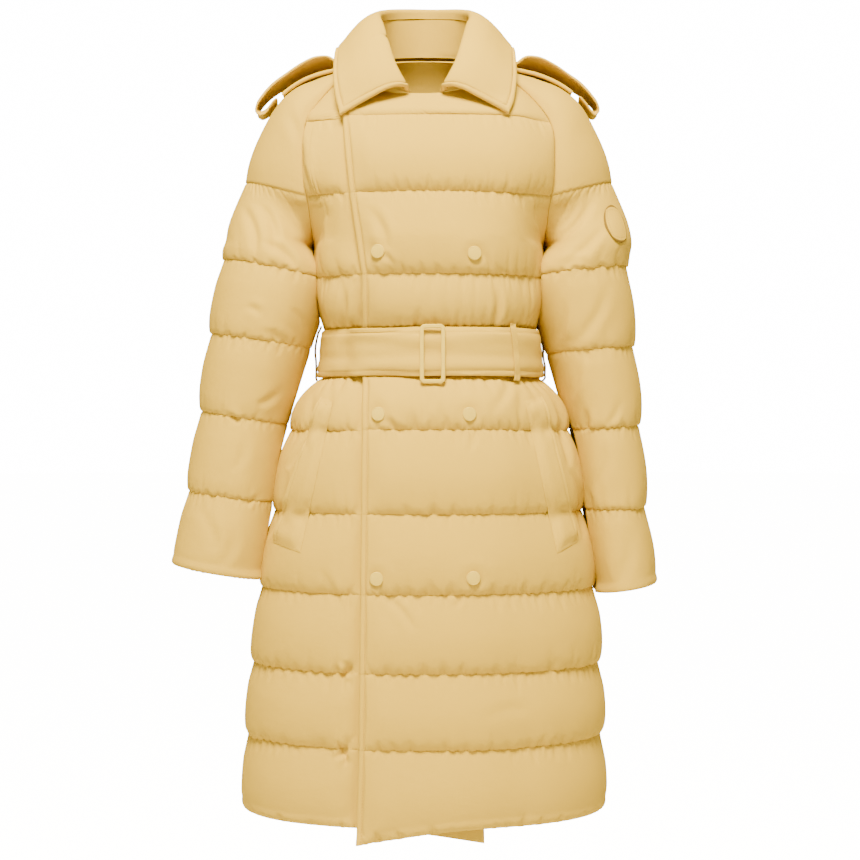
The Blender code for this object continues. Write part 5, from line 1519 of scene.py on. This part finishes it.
outward = unit(roll_line * np.array([1, 1, 0]))
leaf_rows = [joint + (roll_line - joint) * LEAF_START, roll_line]
for share, rise in zip(LEAF["share"], LEAF["rise"]):
    leaf_rows.append(roll_line + leaf * share + (outward + np.array([0, 0, 1])) * rise)
stand_grid = np.array([mirrored(seam + (joint - seam) * t) for t in (0.0, 0.5, 1.0)])
leaf_grid = np.array([mirrored(row) for row in leaf_rows])
leaf_grid[3:] = lay_on(leaf_grid[3:], shell_tree, COLLAR_HALF + COLLAR_CLEARANCE)

sheet_piece(
    "collar_stand_cloth", "collar_stand", stand_grid, STAND_HALF,
    rims="we", rumple=0.0002, seed=3,
)
sheet_piece(
    "collar_leaf", "collar", leaf_grid, COLLAR_HALF,
    rims="wes", laid=(shell_tree, COLLAR_LAY),
    rumple=0.0005, folds=(0.04, 0.05), seed=4,
)


# ---- Belt ------------------------------------------------------------------------------------
# A strip of two layers of the shell cloth, stitched along both edges. It starts under the buckle,
# goes once round the waist, passes through the buckle and lies on its own start.

BELT_ENDS = (-0.3595, -0.4195)  # heights of its edges
BELT_HALF = 0.0013  # half its thickness
BELT_CLEARANCE = 0.0011
BELT_FEELERS = 5  # looks for the cloth under the belt, per column
BELT_COLUMNS = 46
FEELER_REACH = 0.15  # they start this far outside the body
BELT_TIP_X = 0.140
BELT_LAP = (0.30, 0.06)  # the tip lifts off the waist over this turn before it meets the start
BELT_LAP_GAP = 0.0011
BUCKLE_X = 0.0095
BELT_ROWS = 6


def front_hit(tree, x, z):
    """The place and normal of the outermost surface in front, at x and z."""
    place, normal, _, _ = tree.ray_cast(Vector((x, -1.0, z)), Vector((0, 1, 0)))
    return np.array(place), np.array(normal)


def outside_hit(tree, x, y, z, middle):
    """The place of the outermost surface, seen level towards the body's middle."""
    towards = Vector((middle - x, -y, 0)).normalized()
    return np.array(tree.ray_cast(Vector((x, y, z)) - towards * FEELER_REACH, towards)[0])


def waist_point(turn, z):
    """The body's seam-level section at a height. turn is 0 in front and grows to the left."""
    middle, half, front, back = section(z)
    depth = front if math.cos(turn) > 0 else back
    x = math.copysign(half * abs(math.sin(turn)) ** (2 / SQUARE), math.sin(turn))
    y = -math.copysign(depth * abs(math.cos(turn)) ** (2 / SQUARE), math.cos(turn))
    return middle + x, y, z


def turn_at(x, z):
    """The turn at which the front of the waist is at x."""
    middle, half, _, _ = section(z)
    return math.copysign(math.asin((abs(x - middle) / half) ** (SQUARE / 2)), x - middle)


def belt_row(tree, turns, z):
    """Points round the waist at a height, on the outermost cloth, bridging its steps and dents."""
    middle = section(z)[0]
    fine = np.linspace(turns[0], turns[-1], (len(turns) - 1) * BELT_FEELERS + 1)
    waist = np.array([waist_point(turn, z) for turn in fine])
    outward = unit(waist - np.array([middle, 0.0, z]))
    hits = np.array([outside_hit(tree, *point, middle) for point in waist])
    out = ((hits - waist) * outward).sum(axis=1)
    reach = np.arange(len(fine))
    bridged = np.array([out[abs(reach - i) <= BELT_FEELERS].max() for i in reach])
    points = waist + outward * (bridged + BELT_HALF + BELT_CLEARANCE)[:, None]
    return points[::BELT_FEELERS]


belt_middle = sum(BELT_ENDS) / 2
belt_start = turn_at(BUCKLE_X, belt_middle)
belt_end = 2 * math.pi + turn_at(BELT_TIP_X, belt_middle)
belt_turns = np.linspace(belt_start, belt_end, BELT_COLUMNS)
body_shells = [shells[name] for name in ("front_over", "front_under", "back")]
body_tree = tree_of(body_shells)
belt_grid = [belt_row(body_tree, belt_turns, z) for z in np.linspace(*BELT_ENDS, BELT_ROWS)]
belt_grid = np.array(belt_grid)
overlap = smooth_step(
    belt_turns - 2 * math.pi, belt_start - BELT_LAP[0], belt_start - BELT_LAP[1]
)
belt_normal = grid_normals(belt_grid)
if belt_normal[0, 0, 1] > 0:
    belt_normal = -belt_normal
belt_grid = belt_grid + belt_normal * (overlap * (2 * BELT_HALF + BELT_LAP_GAP))[:, None]
belt_cloth = sheet_piece(
    "belt_cloth", "belt", belt_grid, BELT_HALF,
    rumple=0.0009,
    folds=(0.009, 0.060), seed=5,
)


# ---- Buckle ----------------------------------------------------------------------------------
# A plain rectangular frame with round corners, moulded and enamelled in the colour of the cloth.
# The belt runs behind its bars.

BUCKLE_SIZE = (0.032, 0.0745)  # outside, across and up
BUCKLE_BAR = (0.0053, 0.0034)  # seen from the front, and its depth
BUCKLE_CORNER = 0.0065
BUCKLE_Z = -0.3926
BUCKLE_GAP = 0.0004
BUCKLE_ROUND, BUCKLE_SHARP = 0.0013, 50  # its edges sharper than this angle are rounded
# Where it feels for the belt behind it, as shares of its width and height.
BUCKLE_FEELERS = ((-0.5, -0.4, 0.4, 0.5), (-0.5, -0.45, -0.2, 0.0, 0.2, 0.45, 0.5))
TRIM_COLOUR = (0.68, 0.530, 0.180, 1.0)
TRIM_ROUGHNESS, TRIM_UNEVEN = 0.48, 0.08
SPECK_DEPTH = 0.0001


def speckled_finish(name, colour, darker, scale, relief, **inputs):
    """A finish with a fine unevenness: its specks are darker by a share, and raised."""
    finish, tree, shader = new_finish(name, **inputs)
    where = add_node(tree, "TexCoord", (-900, 200)).outputs["Object"]
    speck = add_node(tree, "TexNoise", (-700, 250), Vector=where, Scale=scale, Detail=2.0)
    speck = speck.outputs["Fac"]
    deep = (*(darker * value for value in colour[:3]), 1.0)
    skin = add_node(
        tree, "Bump", (-300, -150), Strength=relief, Distance=SPECK_DEPTH, Height=speck
    )
    feed_all(
        tree, shader, Base_Color=mix_colours(tree, (-400, 350), speck, colour, deep),
        Normal=skin.outputs["Normal"],
    )
    return finish, tree, shader, speck


def select_only(made):
    bpy.ops.object.select_all(action="DESELECT")
    made.select_set(True)
    bpy.context.view_layer.objects.active = made


trim_enamel, tree, shader, speck = speckled_finish(
    "trim_enamel", TRIM_COLOUR, 0.9, 900.0, 0.25,
    Specular_IOR_Level=0.30, Coat_Weight=0.06, Coat_Roughness=0.35,
)
low, high = (TRIM_ROUGHNESS + sign * TRIM_UNEVEN for sign in (-1, 1))
rough = add_node(tree, "MapRange", (-400, 100), To_Min=low, To_Max=high, Value=speck)
feed_all(tree, shader, Roughness=rough.outputs["Result"])


def finished(made, name, node, finish):
    """Names a piece made by operators, puts its place in its mesh and gives it its finish."""
    made.name = made.data.name = name
    select_only(made)
    bpy.ops.object.transform_apply(location=True, rotation=True, scale=True)
    bpy.ops.object.shade_smooth_by_angle(angle=math.radians(40))
    made.data.materials.clear()
    made.data.materials.append(finish)
    made.select_set(False)
    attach(made, "root")
    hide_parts(node)


across, upright = BUCKLE_SIZE
bar, depth = BUCKLE_BAR
strip_tree = tree_of([belt_cloth, shells["front_over"], shells["front_under"]])
seats = [
    front_hit(strip_tree, BUCKLE_X + x * across, BUCKLE_Z + z * upright)[0][1]
    for x in BUCKLE_FEELERS[0] for z in BUCKLE_FEELERS[1]
]
buckle_back = min(min(seats) - BUCKLE_GAP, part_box("belt_buckle")[1][1])
bpy.ops.mesh.primitive_plane_add(
    size=1, location=(BUCKLE_X, buckle_back, BUCKLE_Z), rotation=(math.radians(90), 0, 0)
)
buckle = bpy.context.object
buckle.scale = (across, upright, 1)
bpy.ops.object.transform_apply(location=False, rotation=False, scale=True)
bpy.ops.object.mode_set(mode="EDIT")
bpy.ops.mesh.select_all(action="SELECT")
bpy.ops.mesh.bevel(offset=BUCKLE_CORNER, segments=8, affect="VERTICES", offset_type="OFFSET")
bpy.ops.mesh.select_all(action="SELECT")
bpy.ops.mesh.inset(thickness=bar, depth=0)
bpy.ops.mesh.delete(type="FACE")
bpy.ops.mesh.select_all(action="SELECT")
bpy.ops.mesh.extrude_region_move(TRANSFORM_OT_translate={"value": (0, -depth, 0)})
bpy.ops.mesh.select_all(action="SELECT")
bpy.ops.mesh.normals_make_consistent(inside=False)
bpy.ops.object.mode_set(mode="OBJECT")
rounding = buckle.modifiers.new("rounding", "BEVEL")
rounding.width = BUCKLE_ROUND
rounding.segments = 4
rounding.limit_method = "ANGLE"
rounding.angle_limit = math.radians(BUCKLE_SHARP)
bpy.ops.object.modifier_apply(modifier=rounding.name)
finished(buckle, "buckle_frame", "belt_buckle", trim_enamel)


# ---- Belt keeper -----------------------------------------------------------------------------
# A narrow loop of folded cloth across the belt on the wearer's left, sewn to the coat above and
# below the belt.

KEEPER = lengths(
    "x z",
    (111.5, -353.5), (112, -360), (114.5, -378), (116.5, -400),
    (117.5, -419), (116.5, -425.5),
)
KEEPER_POINTS = 11
KEEPER_SEEN = 0.0068  # it is folded narrower than it is cut
KEEPER_HALF = 0.0008
KEEPER_CLEARANCE = 0.0012
KEEPER_FEELERS = (-0.006, -0.003, 0.0, 0.003, 0.006)  # looks up and down for what it bridges

keeper_where = np.linspace(0.0, 1.0, KEEPER_POINTS)
keeper_places = np.linspace(0.0, 1.0, len(KEEPER["x"]))
keeper_x, keeper_z = (along(KEEPER[column], keeper_places, keeper_where) for column in ("x", "z"))
keeper_rows = []
for side in (-0.5, 0.0, 0.5):
    row = []
    for x, z in zip(keeper_x + side * KEEPER_SEEN, keeper_z):
        out = min(front_hit(strip_tree, x, z + dz)[0][1] for dz in KEEPER_FEELERS)
        row.append((x, out - KEEPER_HALF - KEEPER_CLEARANCE, z))
    keeper_rows.append(row)
sheet_piece(
    "belt_keeper_cloth", "belt_keeper", np.array(keeper_rows), KEEPER_HALF,
    rims="ns", rumple=0.0, seed=6,
)


# ---- Thread loops ----------------------------------------------------------------------------
# At each side seam a loop of two twisted threads holds the belt. Its ends are sewn into the seam
# above and below it.

LOOP_POINTS = 13
LOOP_RADIUS = 0.0008
LOOP_GAP = 0.0006  # between it and what it lies on
LOOP_Y = 0.002  # just behind the side seam
LOOP_FEELERS = (-0.004, 0.0, 0.004)  # looks up and down for what it bridges
LOOP_REACH = {-1: 1.0, 1: 0.55}  # the left arm leaves its loop less room
LOOP = lengths(
    "out z",
    (0, -352), (7, -360), (12.5, -376), (13.5, -390), (11, -404),
    (5, -416), (0, -424),
)
LOOP_TURNS = 44  # twists along a loop
LOOP_STEPS = 240
LOOP_STRAND, LOOP_TWIST = 1.7, 0.35  # a strand's radius and its way off the middle, in the radius
LOOP_COLOUR = (0.28, 0.175, 0.095, 1.0)


def thread_finish(name, colour):
    """Matt thread with fine fibres along it."""
    return speckled_finish(
        name, colour, 0.7, 2500.0, 0.4, Roughness=0.8, Specular_IOR_Level=0.1
    )[0]


loop_thread = thread_finish("loop_thread", LOOP_COLOUR)
waist_tree = tree_of([belt_cloth, *body_shells])
for side, word in ((1, "left"), (-1, "right")):
    where = np.linspace(0.0, 1.0, LOOP_POINTS)
    loop_places = np.linspace(0.0, 1.0, len(LOOP["z"]))
    outs, heights = (along(LOOP[column], loop_places, where) for column in ("out", "z"))
    path = []
    for out, z in zip(outs, heights):
        middle, half, _, _ = section(z)
        x = middle + side * half
        hits = [outside_hit(waist_tree, x, LOOP_Y, z + dz, middle) for dz in LOOP_FEELERS]
        seat = max(abs(place[0] - middle) for place in hits)
        reach = max(half + out * LOOP_REACH[side], seat) + LOOP_RADIUS + LOOP_GAP
        path.append((middle + side * reach, LOOP_Y, z))
    fine = np.linspace(0.0, 1.0, LOOP_STEPS)
    path = along(np.array(path), where, fine)
    curve = bpy.data.curves.new("twist", "CURVE")
    curve.dimensions = "3D"
    curve.bevel_depth = LOOP_RADIUS * LOOP_STRAND
    curve.bevel_resolution = 1
    curve.use_fill_caps = True
    for strand in (0, math.pi):
        angle = 2 * math.pi * LOOP_TURNS * fine + strand
        away = np.stack([np.cos(angle), np.sin(angle), np.zeros_like(angle)], axis=-1)
        spline = curve.splines.new("POLY")
        spline.points.add(len(fine) - 1)
        for point, place in zip(spline.points, path + away * LOOP_RADIUS * LOOP_TWIST):
            point.co = (*place, 1)
    select_only(put_in(bpy.data.objects.new("twist", curve)))
    bpy.ops.object.convert(target="MESH")
    twist = bpy.context.object
    finished(twist, f"thread_loop_twist_{word}", f"thread_loop_{word}", loop_thread)


# ---- Shoulder straps -------------------------------------------------------------------------
# Each shoulder has a lower strap, stitched down flat, and an upper one that arches over it and is
# folded back under itself at its end. Both are two layers of the shell cloth.

UPPER_STRAP = lengths(
    "x z width fall",
    (104, -2, 40, 12), (118, 1.5, 41, 13), (130, 10, 42, 14),
    (146, 10, 44, 14), (166, 1, 46, 13), (186, -13, 48, 10),
    (204, -27, 49, 7), (218, -43, 49, 5), (225.5, -55, 48, 4),
    (226.5, -62, 47, 3), (222, -66.5, 46, 2), (214, -64, 46, 1),
    (206, -56, 46, 1),
)
LOWER_STRAP = lengths(
    "x z width fall",
    (104, -8, 34, 5), (126, -10, 36, 6), (146, -14, 38, 6),
    (164, -22, 40, 4), (180, -34, 42, 2), (192, -46, 42, 0),
)
STRAP_HALF = 0.0014
STRAP_Y = 0.006
STRAP_CROWN = 0.004  # the strap's edges hang this much lower than its middle
STRAP_ACROSS = 4
LOWER_STRAP_PAD = 0.0010  # the lower strap is padded by this on either side
LOWER_STRAP_CLEARANCE = STRAP_HALF + LOWER_STRAP_PAD + 0.0020
LOWER_STRAP_DRAPE = 0.5
UPPER_STRAP_CLEARANCE = 3 * STRAP_HALF + 0.0030
STRAP_LIP = 0.0030  # the upper strap's front edge hangs
STRAP_HANG = 0.0030  # its back edge hangs this much more past the neck
HANG_FROM, HANG_UNTIL = (0.118, 0.140), (0.195, 0.220)  # and up to its end
LIP_SHARES = (0.30, 0.50)  # the lip, from the middle of the strap to its edge
LEAST_SLOPE = 0.5  # of what the strap lies on, where its clearance is worked out
# Where the part of it that is folded under ends: out from the neck, up, width and fall.
STRAP_RETURN = (0.1975, -0.0490, 0.046, 0.001)


def strap_grid(side, path, tree, clearance, lip=0.0, drape=0.0):
    """A strip along a path out from the neck, laid on the sleeve. lip is how far its front edge
    hangs, and drape how much of the way its front half falls to the sleeve."""
    shift = YOKE["shift"][2]
    across = np.linspace(-0.5, 0.5, 3 * STRAP_ACROSS)
    base = np.zeros((len(path["x"]), len(across), 3))
    for i, (x, z, width, fall) in enumerate(zip(*path.values())):
        for j, share in enumerate(across):
            drop = STRAP_CROWN * (2 * share) ** 2 + fall * (share + 0.5)
            drop += lip * smooth_step(-share, *LIP_SHARES)
            base[i, j] = (side * x + shift, STRAP_Y + share * width, z - drop)
    end = int(np.argmax(path["x"]))
    laid = end - 1 if end < len(base) - 1 else len(base)
    for row in base[:laid]:
        for point, share in zip(row, across):
            top = Vector((point[0], point[1], 1.0))
            place, normal, _, _ = tree.ray_cast(top, Vector((0, 0, -1)))
            lowest = place.z + clearance / max(normal.z, LEAST_SLOPE)
            point[2] = max(point[2], lowest)
            point[2] += (lowest - point[2]) * drape * smooth_step(-share, 0.0, 0.5)
    return lay_on(base, tree, clearance)


arm_tree = tree_of([shells["sleeve_left"], shells["sleeve_right"]])
upper_path = {
    column: np.append(UPPER_STRAP[column], end) for column, end in zip(UPPER_STRAP, STRAP_RETURN)
}
past_neck = smooth_step(upper_path["x"], *HANG_FROM)
upper_path["fall"] += STRAP_HANG * past_neck * (1 - smooth_step(upper_path["x"], *HANG_UNTIL))
for side, word in ((1, "left"), (-1, "right")):
    sheet_piece(
        f"shoulder_strap_{word}_cloth", f"shoulder_strap_{word}",
        strap_grid(side, upper_path, arm_tree, UPPER_STRAP_CLEARANCE, STRAP_LIP), STRAP_HALF,
        rumple=0.0004, seed=7 + side,
    )
    sheet_piece(
        f"strap_keeper_{word}_cloth", f"strap_keeper_{word}",
        strap_grid(side, LOWER_STRAP, arm_tree, LOWER_STRAP_CLEARANCE, drape=LOWER_STRAP_DRAPE),
        STRAP_HALF + LOWER_STRAP_PAD,
        rumple=0.0003, seed=12 + side,
    )


# ---- Pocket welts ----------------------------------------------------------------------------
# A strip of folded cloth slants down each front over the pocket's opening, sewn to the panel along
# its back edge and both ends.

WELT = table(
    "side top_in_x top_in_z top_out_x top_out_z low_in_x low_in_z low_out_x low_out_z",
    (-1, 0.1165, -0.453, 0.1330, -0.446, 0.1575, -0.6435, 0.1960, -0.633),
    (1, 0.1260, -0.4517, 0.1500, -0.4445, 0.1667, -0.6445, 0.1960, -0.6315),
)
WELT_HALF = 0.0013
WELT_CLEARANCE = 0.0012
WELT_GRID = (15, 4)  # points down and across
WELT_FEELERS = ((0, 0), (0.003, 0), (-0.003, 0), (0, 0.007), (0, -0.007))
WELT_LAY = 0.0004  # how far its finished cloth stays off the panel
WELT_SEAT = 0.0004  # how far its sewn edges stand off the panel
WELT_GAPE = 0.0022  # and its free edge


def welt_grid(row, tree):
    """The middle of a welt, between its corners and laid on the front."""
    down, across = WELT_GRID
    side = row["side"]
    base = np.zeros((down, across, 3))
    for i, t in enumerate(np.linspace(0.0, 1.0, down)):
        for j, share in enumerate(np.linspace(0.0, 1.0, across)):
            ends = []
            for end in ("top", "low"):
                near, far = (
                    np.array([row[f"{end}_{edge}_{axis}"] for axis in "xz"])
                    for edge in ("in", "out")
                )
                ends.append(near + (far - near) * share)
            x, z = ends[0] + (ends[1] - ends[0]) * t
            sewn_down = i in (0, down - 1) or j == 0
            feelers = WELT_FEELERS[:1] if sewn_down else WELT_FEELERS
            hits = [front_hit(tree, side * x + dx, z + dz) for dx, dz in feelers]
            out = min(place[1] for place, _ in hits)
            place, normal = hits[0]
            above = WELT_SEAT
            if not sewn_down:
                gape = share ** 2 * math.sin(math.pi * t) ** 0.5
                above = WELT_HALF + WELT_CLEARANCE + WELT_GAPE * gape
            base[i, j] = (place[0], out, place[2]) + normal * above
    return base


front_tree = tree_of([shells["front_over"], shells["front_under"]])
for i, side in enumerate(WELT["side"]):
    word = "left" if side > 0 else "right"
    sheet_piece(
        f"pocket_welt_{word}_cloth", f"pocket_welt_{word}",
        welt_grid({column: WELT[column][i] for column in WELT}, front_tree), WELT_HALF,
        rims="e", flush="nsw", laid=(front_tree, WELT_LAY), rumple=0.0004, seed=20 + i,
    )


# ---- Snap caps -------------------------------------------------------------------------------
# Six caps in two columns, pressed from metal and enamelled. Each is flat with a thin rounded rim,
# and is closed on the snap under it, which draws the cloth in.

SNAP_GAP = 0.0006
SNAP_RADIUS = 0.0088
SNAP_LEAN = 1.2  # how much more the caps face the front than the cloth under them
# Out from the cloth to the middle of the cap: how high each ring is and its share of the radius.
SNAP_RINGS = (
    (0.0014, 1.0), (0.0022, 0.985), (0.0027, 0.94), (0.0029, 0.89), (0.0026, 0.85),
    (0.0027, 0.80), (0.0030, 0.45), (0.0031, 0.12),
)

bpy.ops.object.select_all(action="DESELECT")
bpy.ops.mesh.primitive_circle_add(vertices=40, radius=SNAP_RADIUS, fill_type="NGON")
snap_model = bpy.context.object
bpy.ops.object.mode_set(mode="EDIT")
bpy.ops.mesh.select_all(action="SELECT")
height_now, share_now = 0.0, 1.0
for height_next, share_next in SNAP_RINGS:
    bpy.ops.mesh.extrude_region_move(
        TRANSFORM_OT_translate={"value": (0, 0, height_next - height_now)}
    )
    factor = share_next / share_now
    bpy.ops.transform.resize(value=(factor, factor, 1))
    height_now, share_now = height_next, share_next
bpy.ops.mesh.select_all(action="SELECT")
bpy.ops.mesh.normals_make_consistent(inside=False)
bpy.ops.object.mode_set(mode="OBJECT")
for column, level, x, z in zip(*(SNAPS[name] for name in ("column", "level", "x", "z"))):
    place, normal = front_hit(front_tree, x, z)
    normal = Vector(normal + np.array([0, -SNAP_LEAN, 0])).normalized()
    word = f"snap_{'ab'[int(column) - 1]}{int(level)}"
    cap = put_in(snap_model.copy())
    cap.data = snap_model.data.copy()
    cap.rotation_euler = normal.to_track_quat("Z", "Y").to_euler()
    cap.location = Vector(place) + normal * SNAP_GAP
    finished(cap, word + "_cap", word, trim_enamel)
bpy.data.objects.remove(snap_model, do_unlink=True)


# ---- Sleeve patch ----------------------------------------------------------------------------
# A plain oval of the shell cloth on the wearer's left upper sleeve, with a satin-stitched edge.

PATCH_MIDDLE = (0.203, -0.222)  # the middle of the sleeve there, across and up
PATCH_TURN = math.radians(35)  # from the front round to the outside
PATCH_SIZE = (0.040, 0.050)
PATCH_HALF = 0.0006
PATCH_CLEARANCE = 0.0011
SLEEVE_RADIUS = 0.080  # of the arm where the patch lies
PATCH_GRID = 13
PATCH_LAY = 0.0006  # how far its finished cloth stays off the sleeve
PATCH_FEELER = 0.3  # it is laid on from this far off
SATIN_COLOUR = (0.21, 0.135, 0.055, 1.0)
SATIN_WIDTH = 0.0022

left_tree = tree_of([shells["sleeve_left"]])
patch_grid = np.zeros((PATCH_GRID, PATCH_GRID, 3))
for i, v in enumerate(np.linspace(-1, 1, PATCH_GRID)):
    for j, u in enumerate(np.linspace(-1, 1, PATCH_GRID)):
        round_u, round_v = u * math.sqrt(1 - v * v / 2), v * math.sqrt(1 - u * u / 2)
        turn = PATCH_TURN + round_u * PATCH_SIZE[0] / 2 / SLEEVE_RADIUS
        z = PATCH_MIDDLE[1] - round_v * PATCH_SIZE[1] / 2
        direction = Vector((-math.sin(turn), math.cos(turn), 0))
        origin = Vector((PATCH_MIDDLE[0], 0.0, z)) - direction * PATCH_FEELER
        place, normal, _, _ = left_tree.ray_cast(origin, direction)
        patch_grid[i, j] = np.array(place) + np.array(normal) * (PATCH_HALF + PATCH_CLEARANCE)
sheet_piece(
    "sleeve_patch_cloth", "sleeve_patch", patch_grid, PATCH_HALF,
    laid=(left_tree, PATCH_LAY), rumple=0.0, seed=30,
    edging=(thread_finish("satin_stitch", SATIN_COLOUR), SATIN_WIDTH),
)
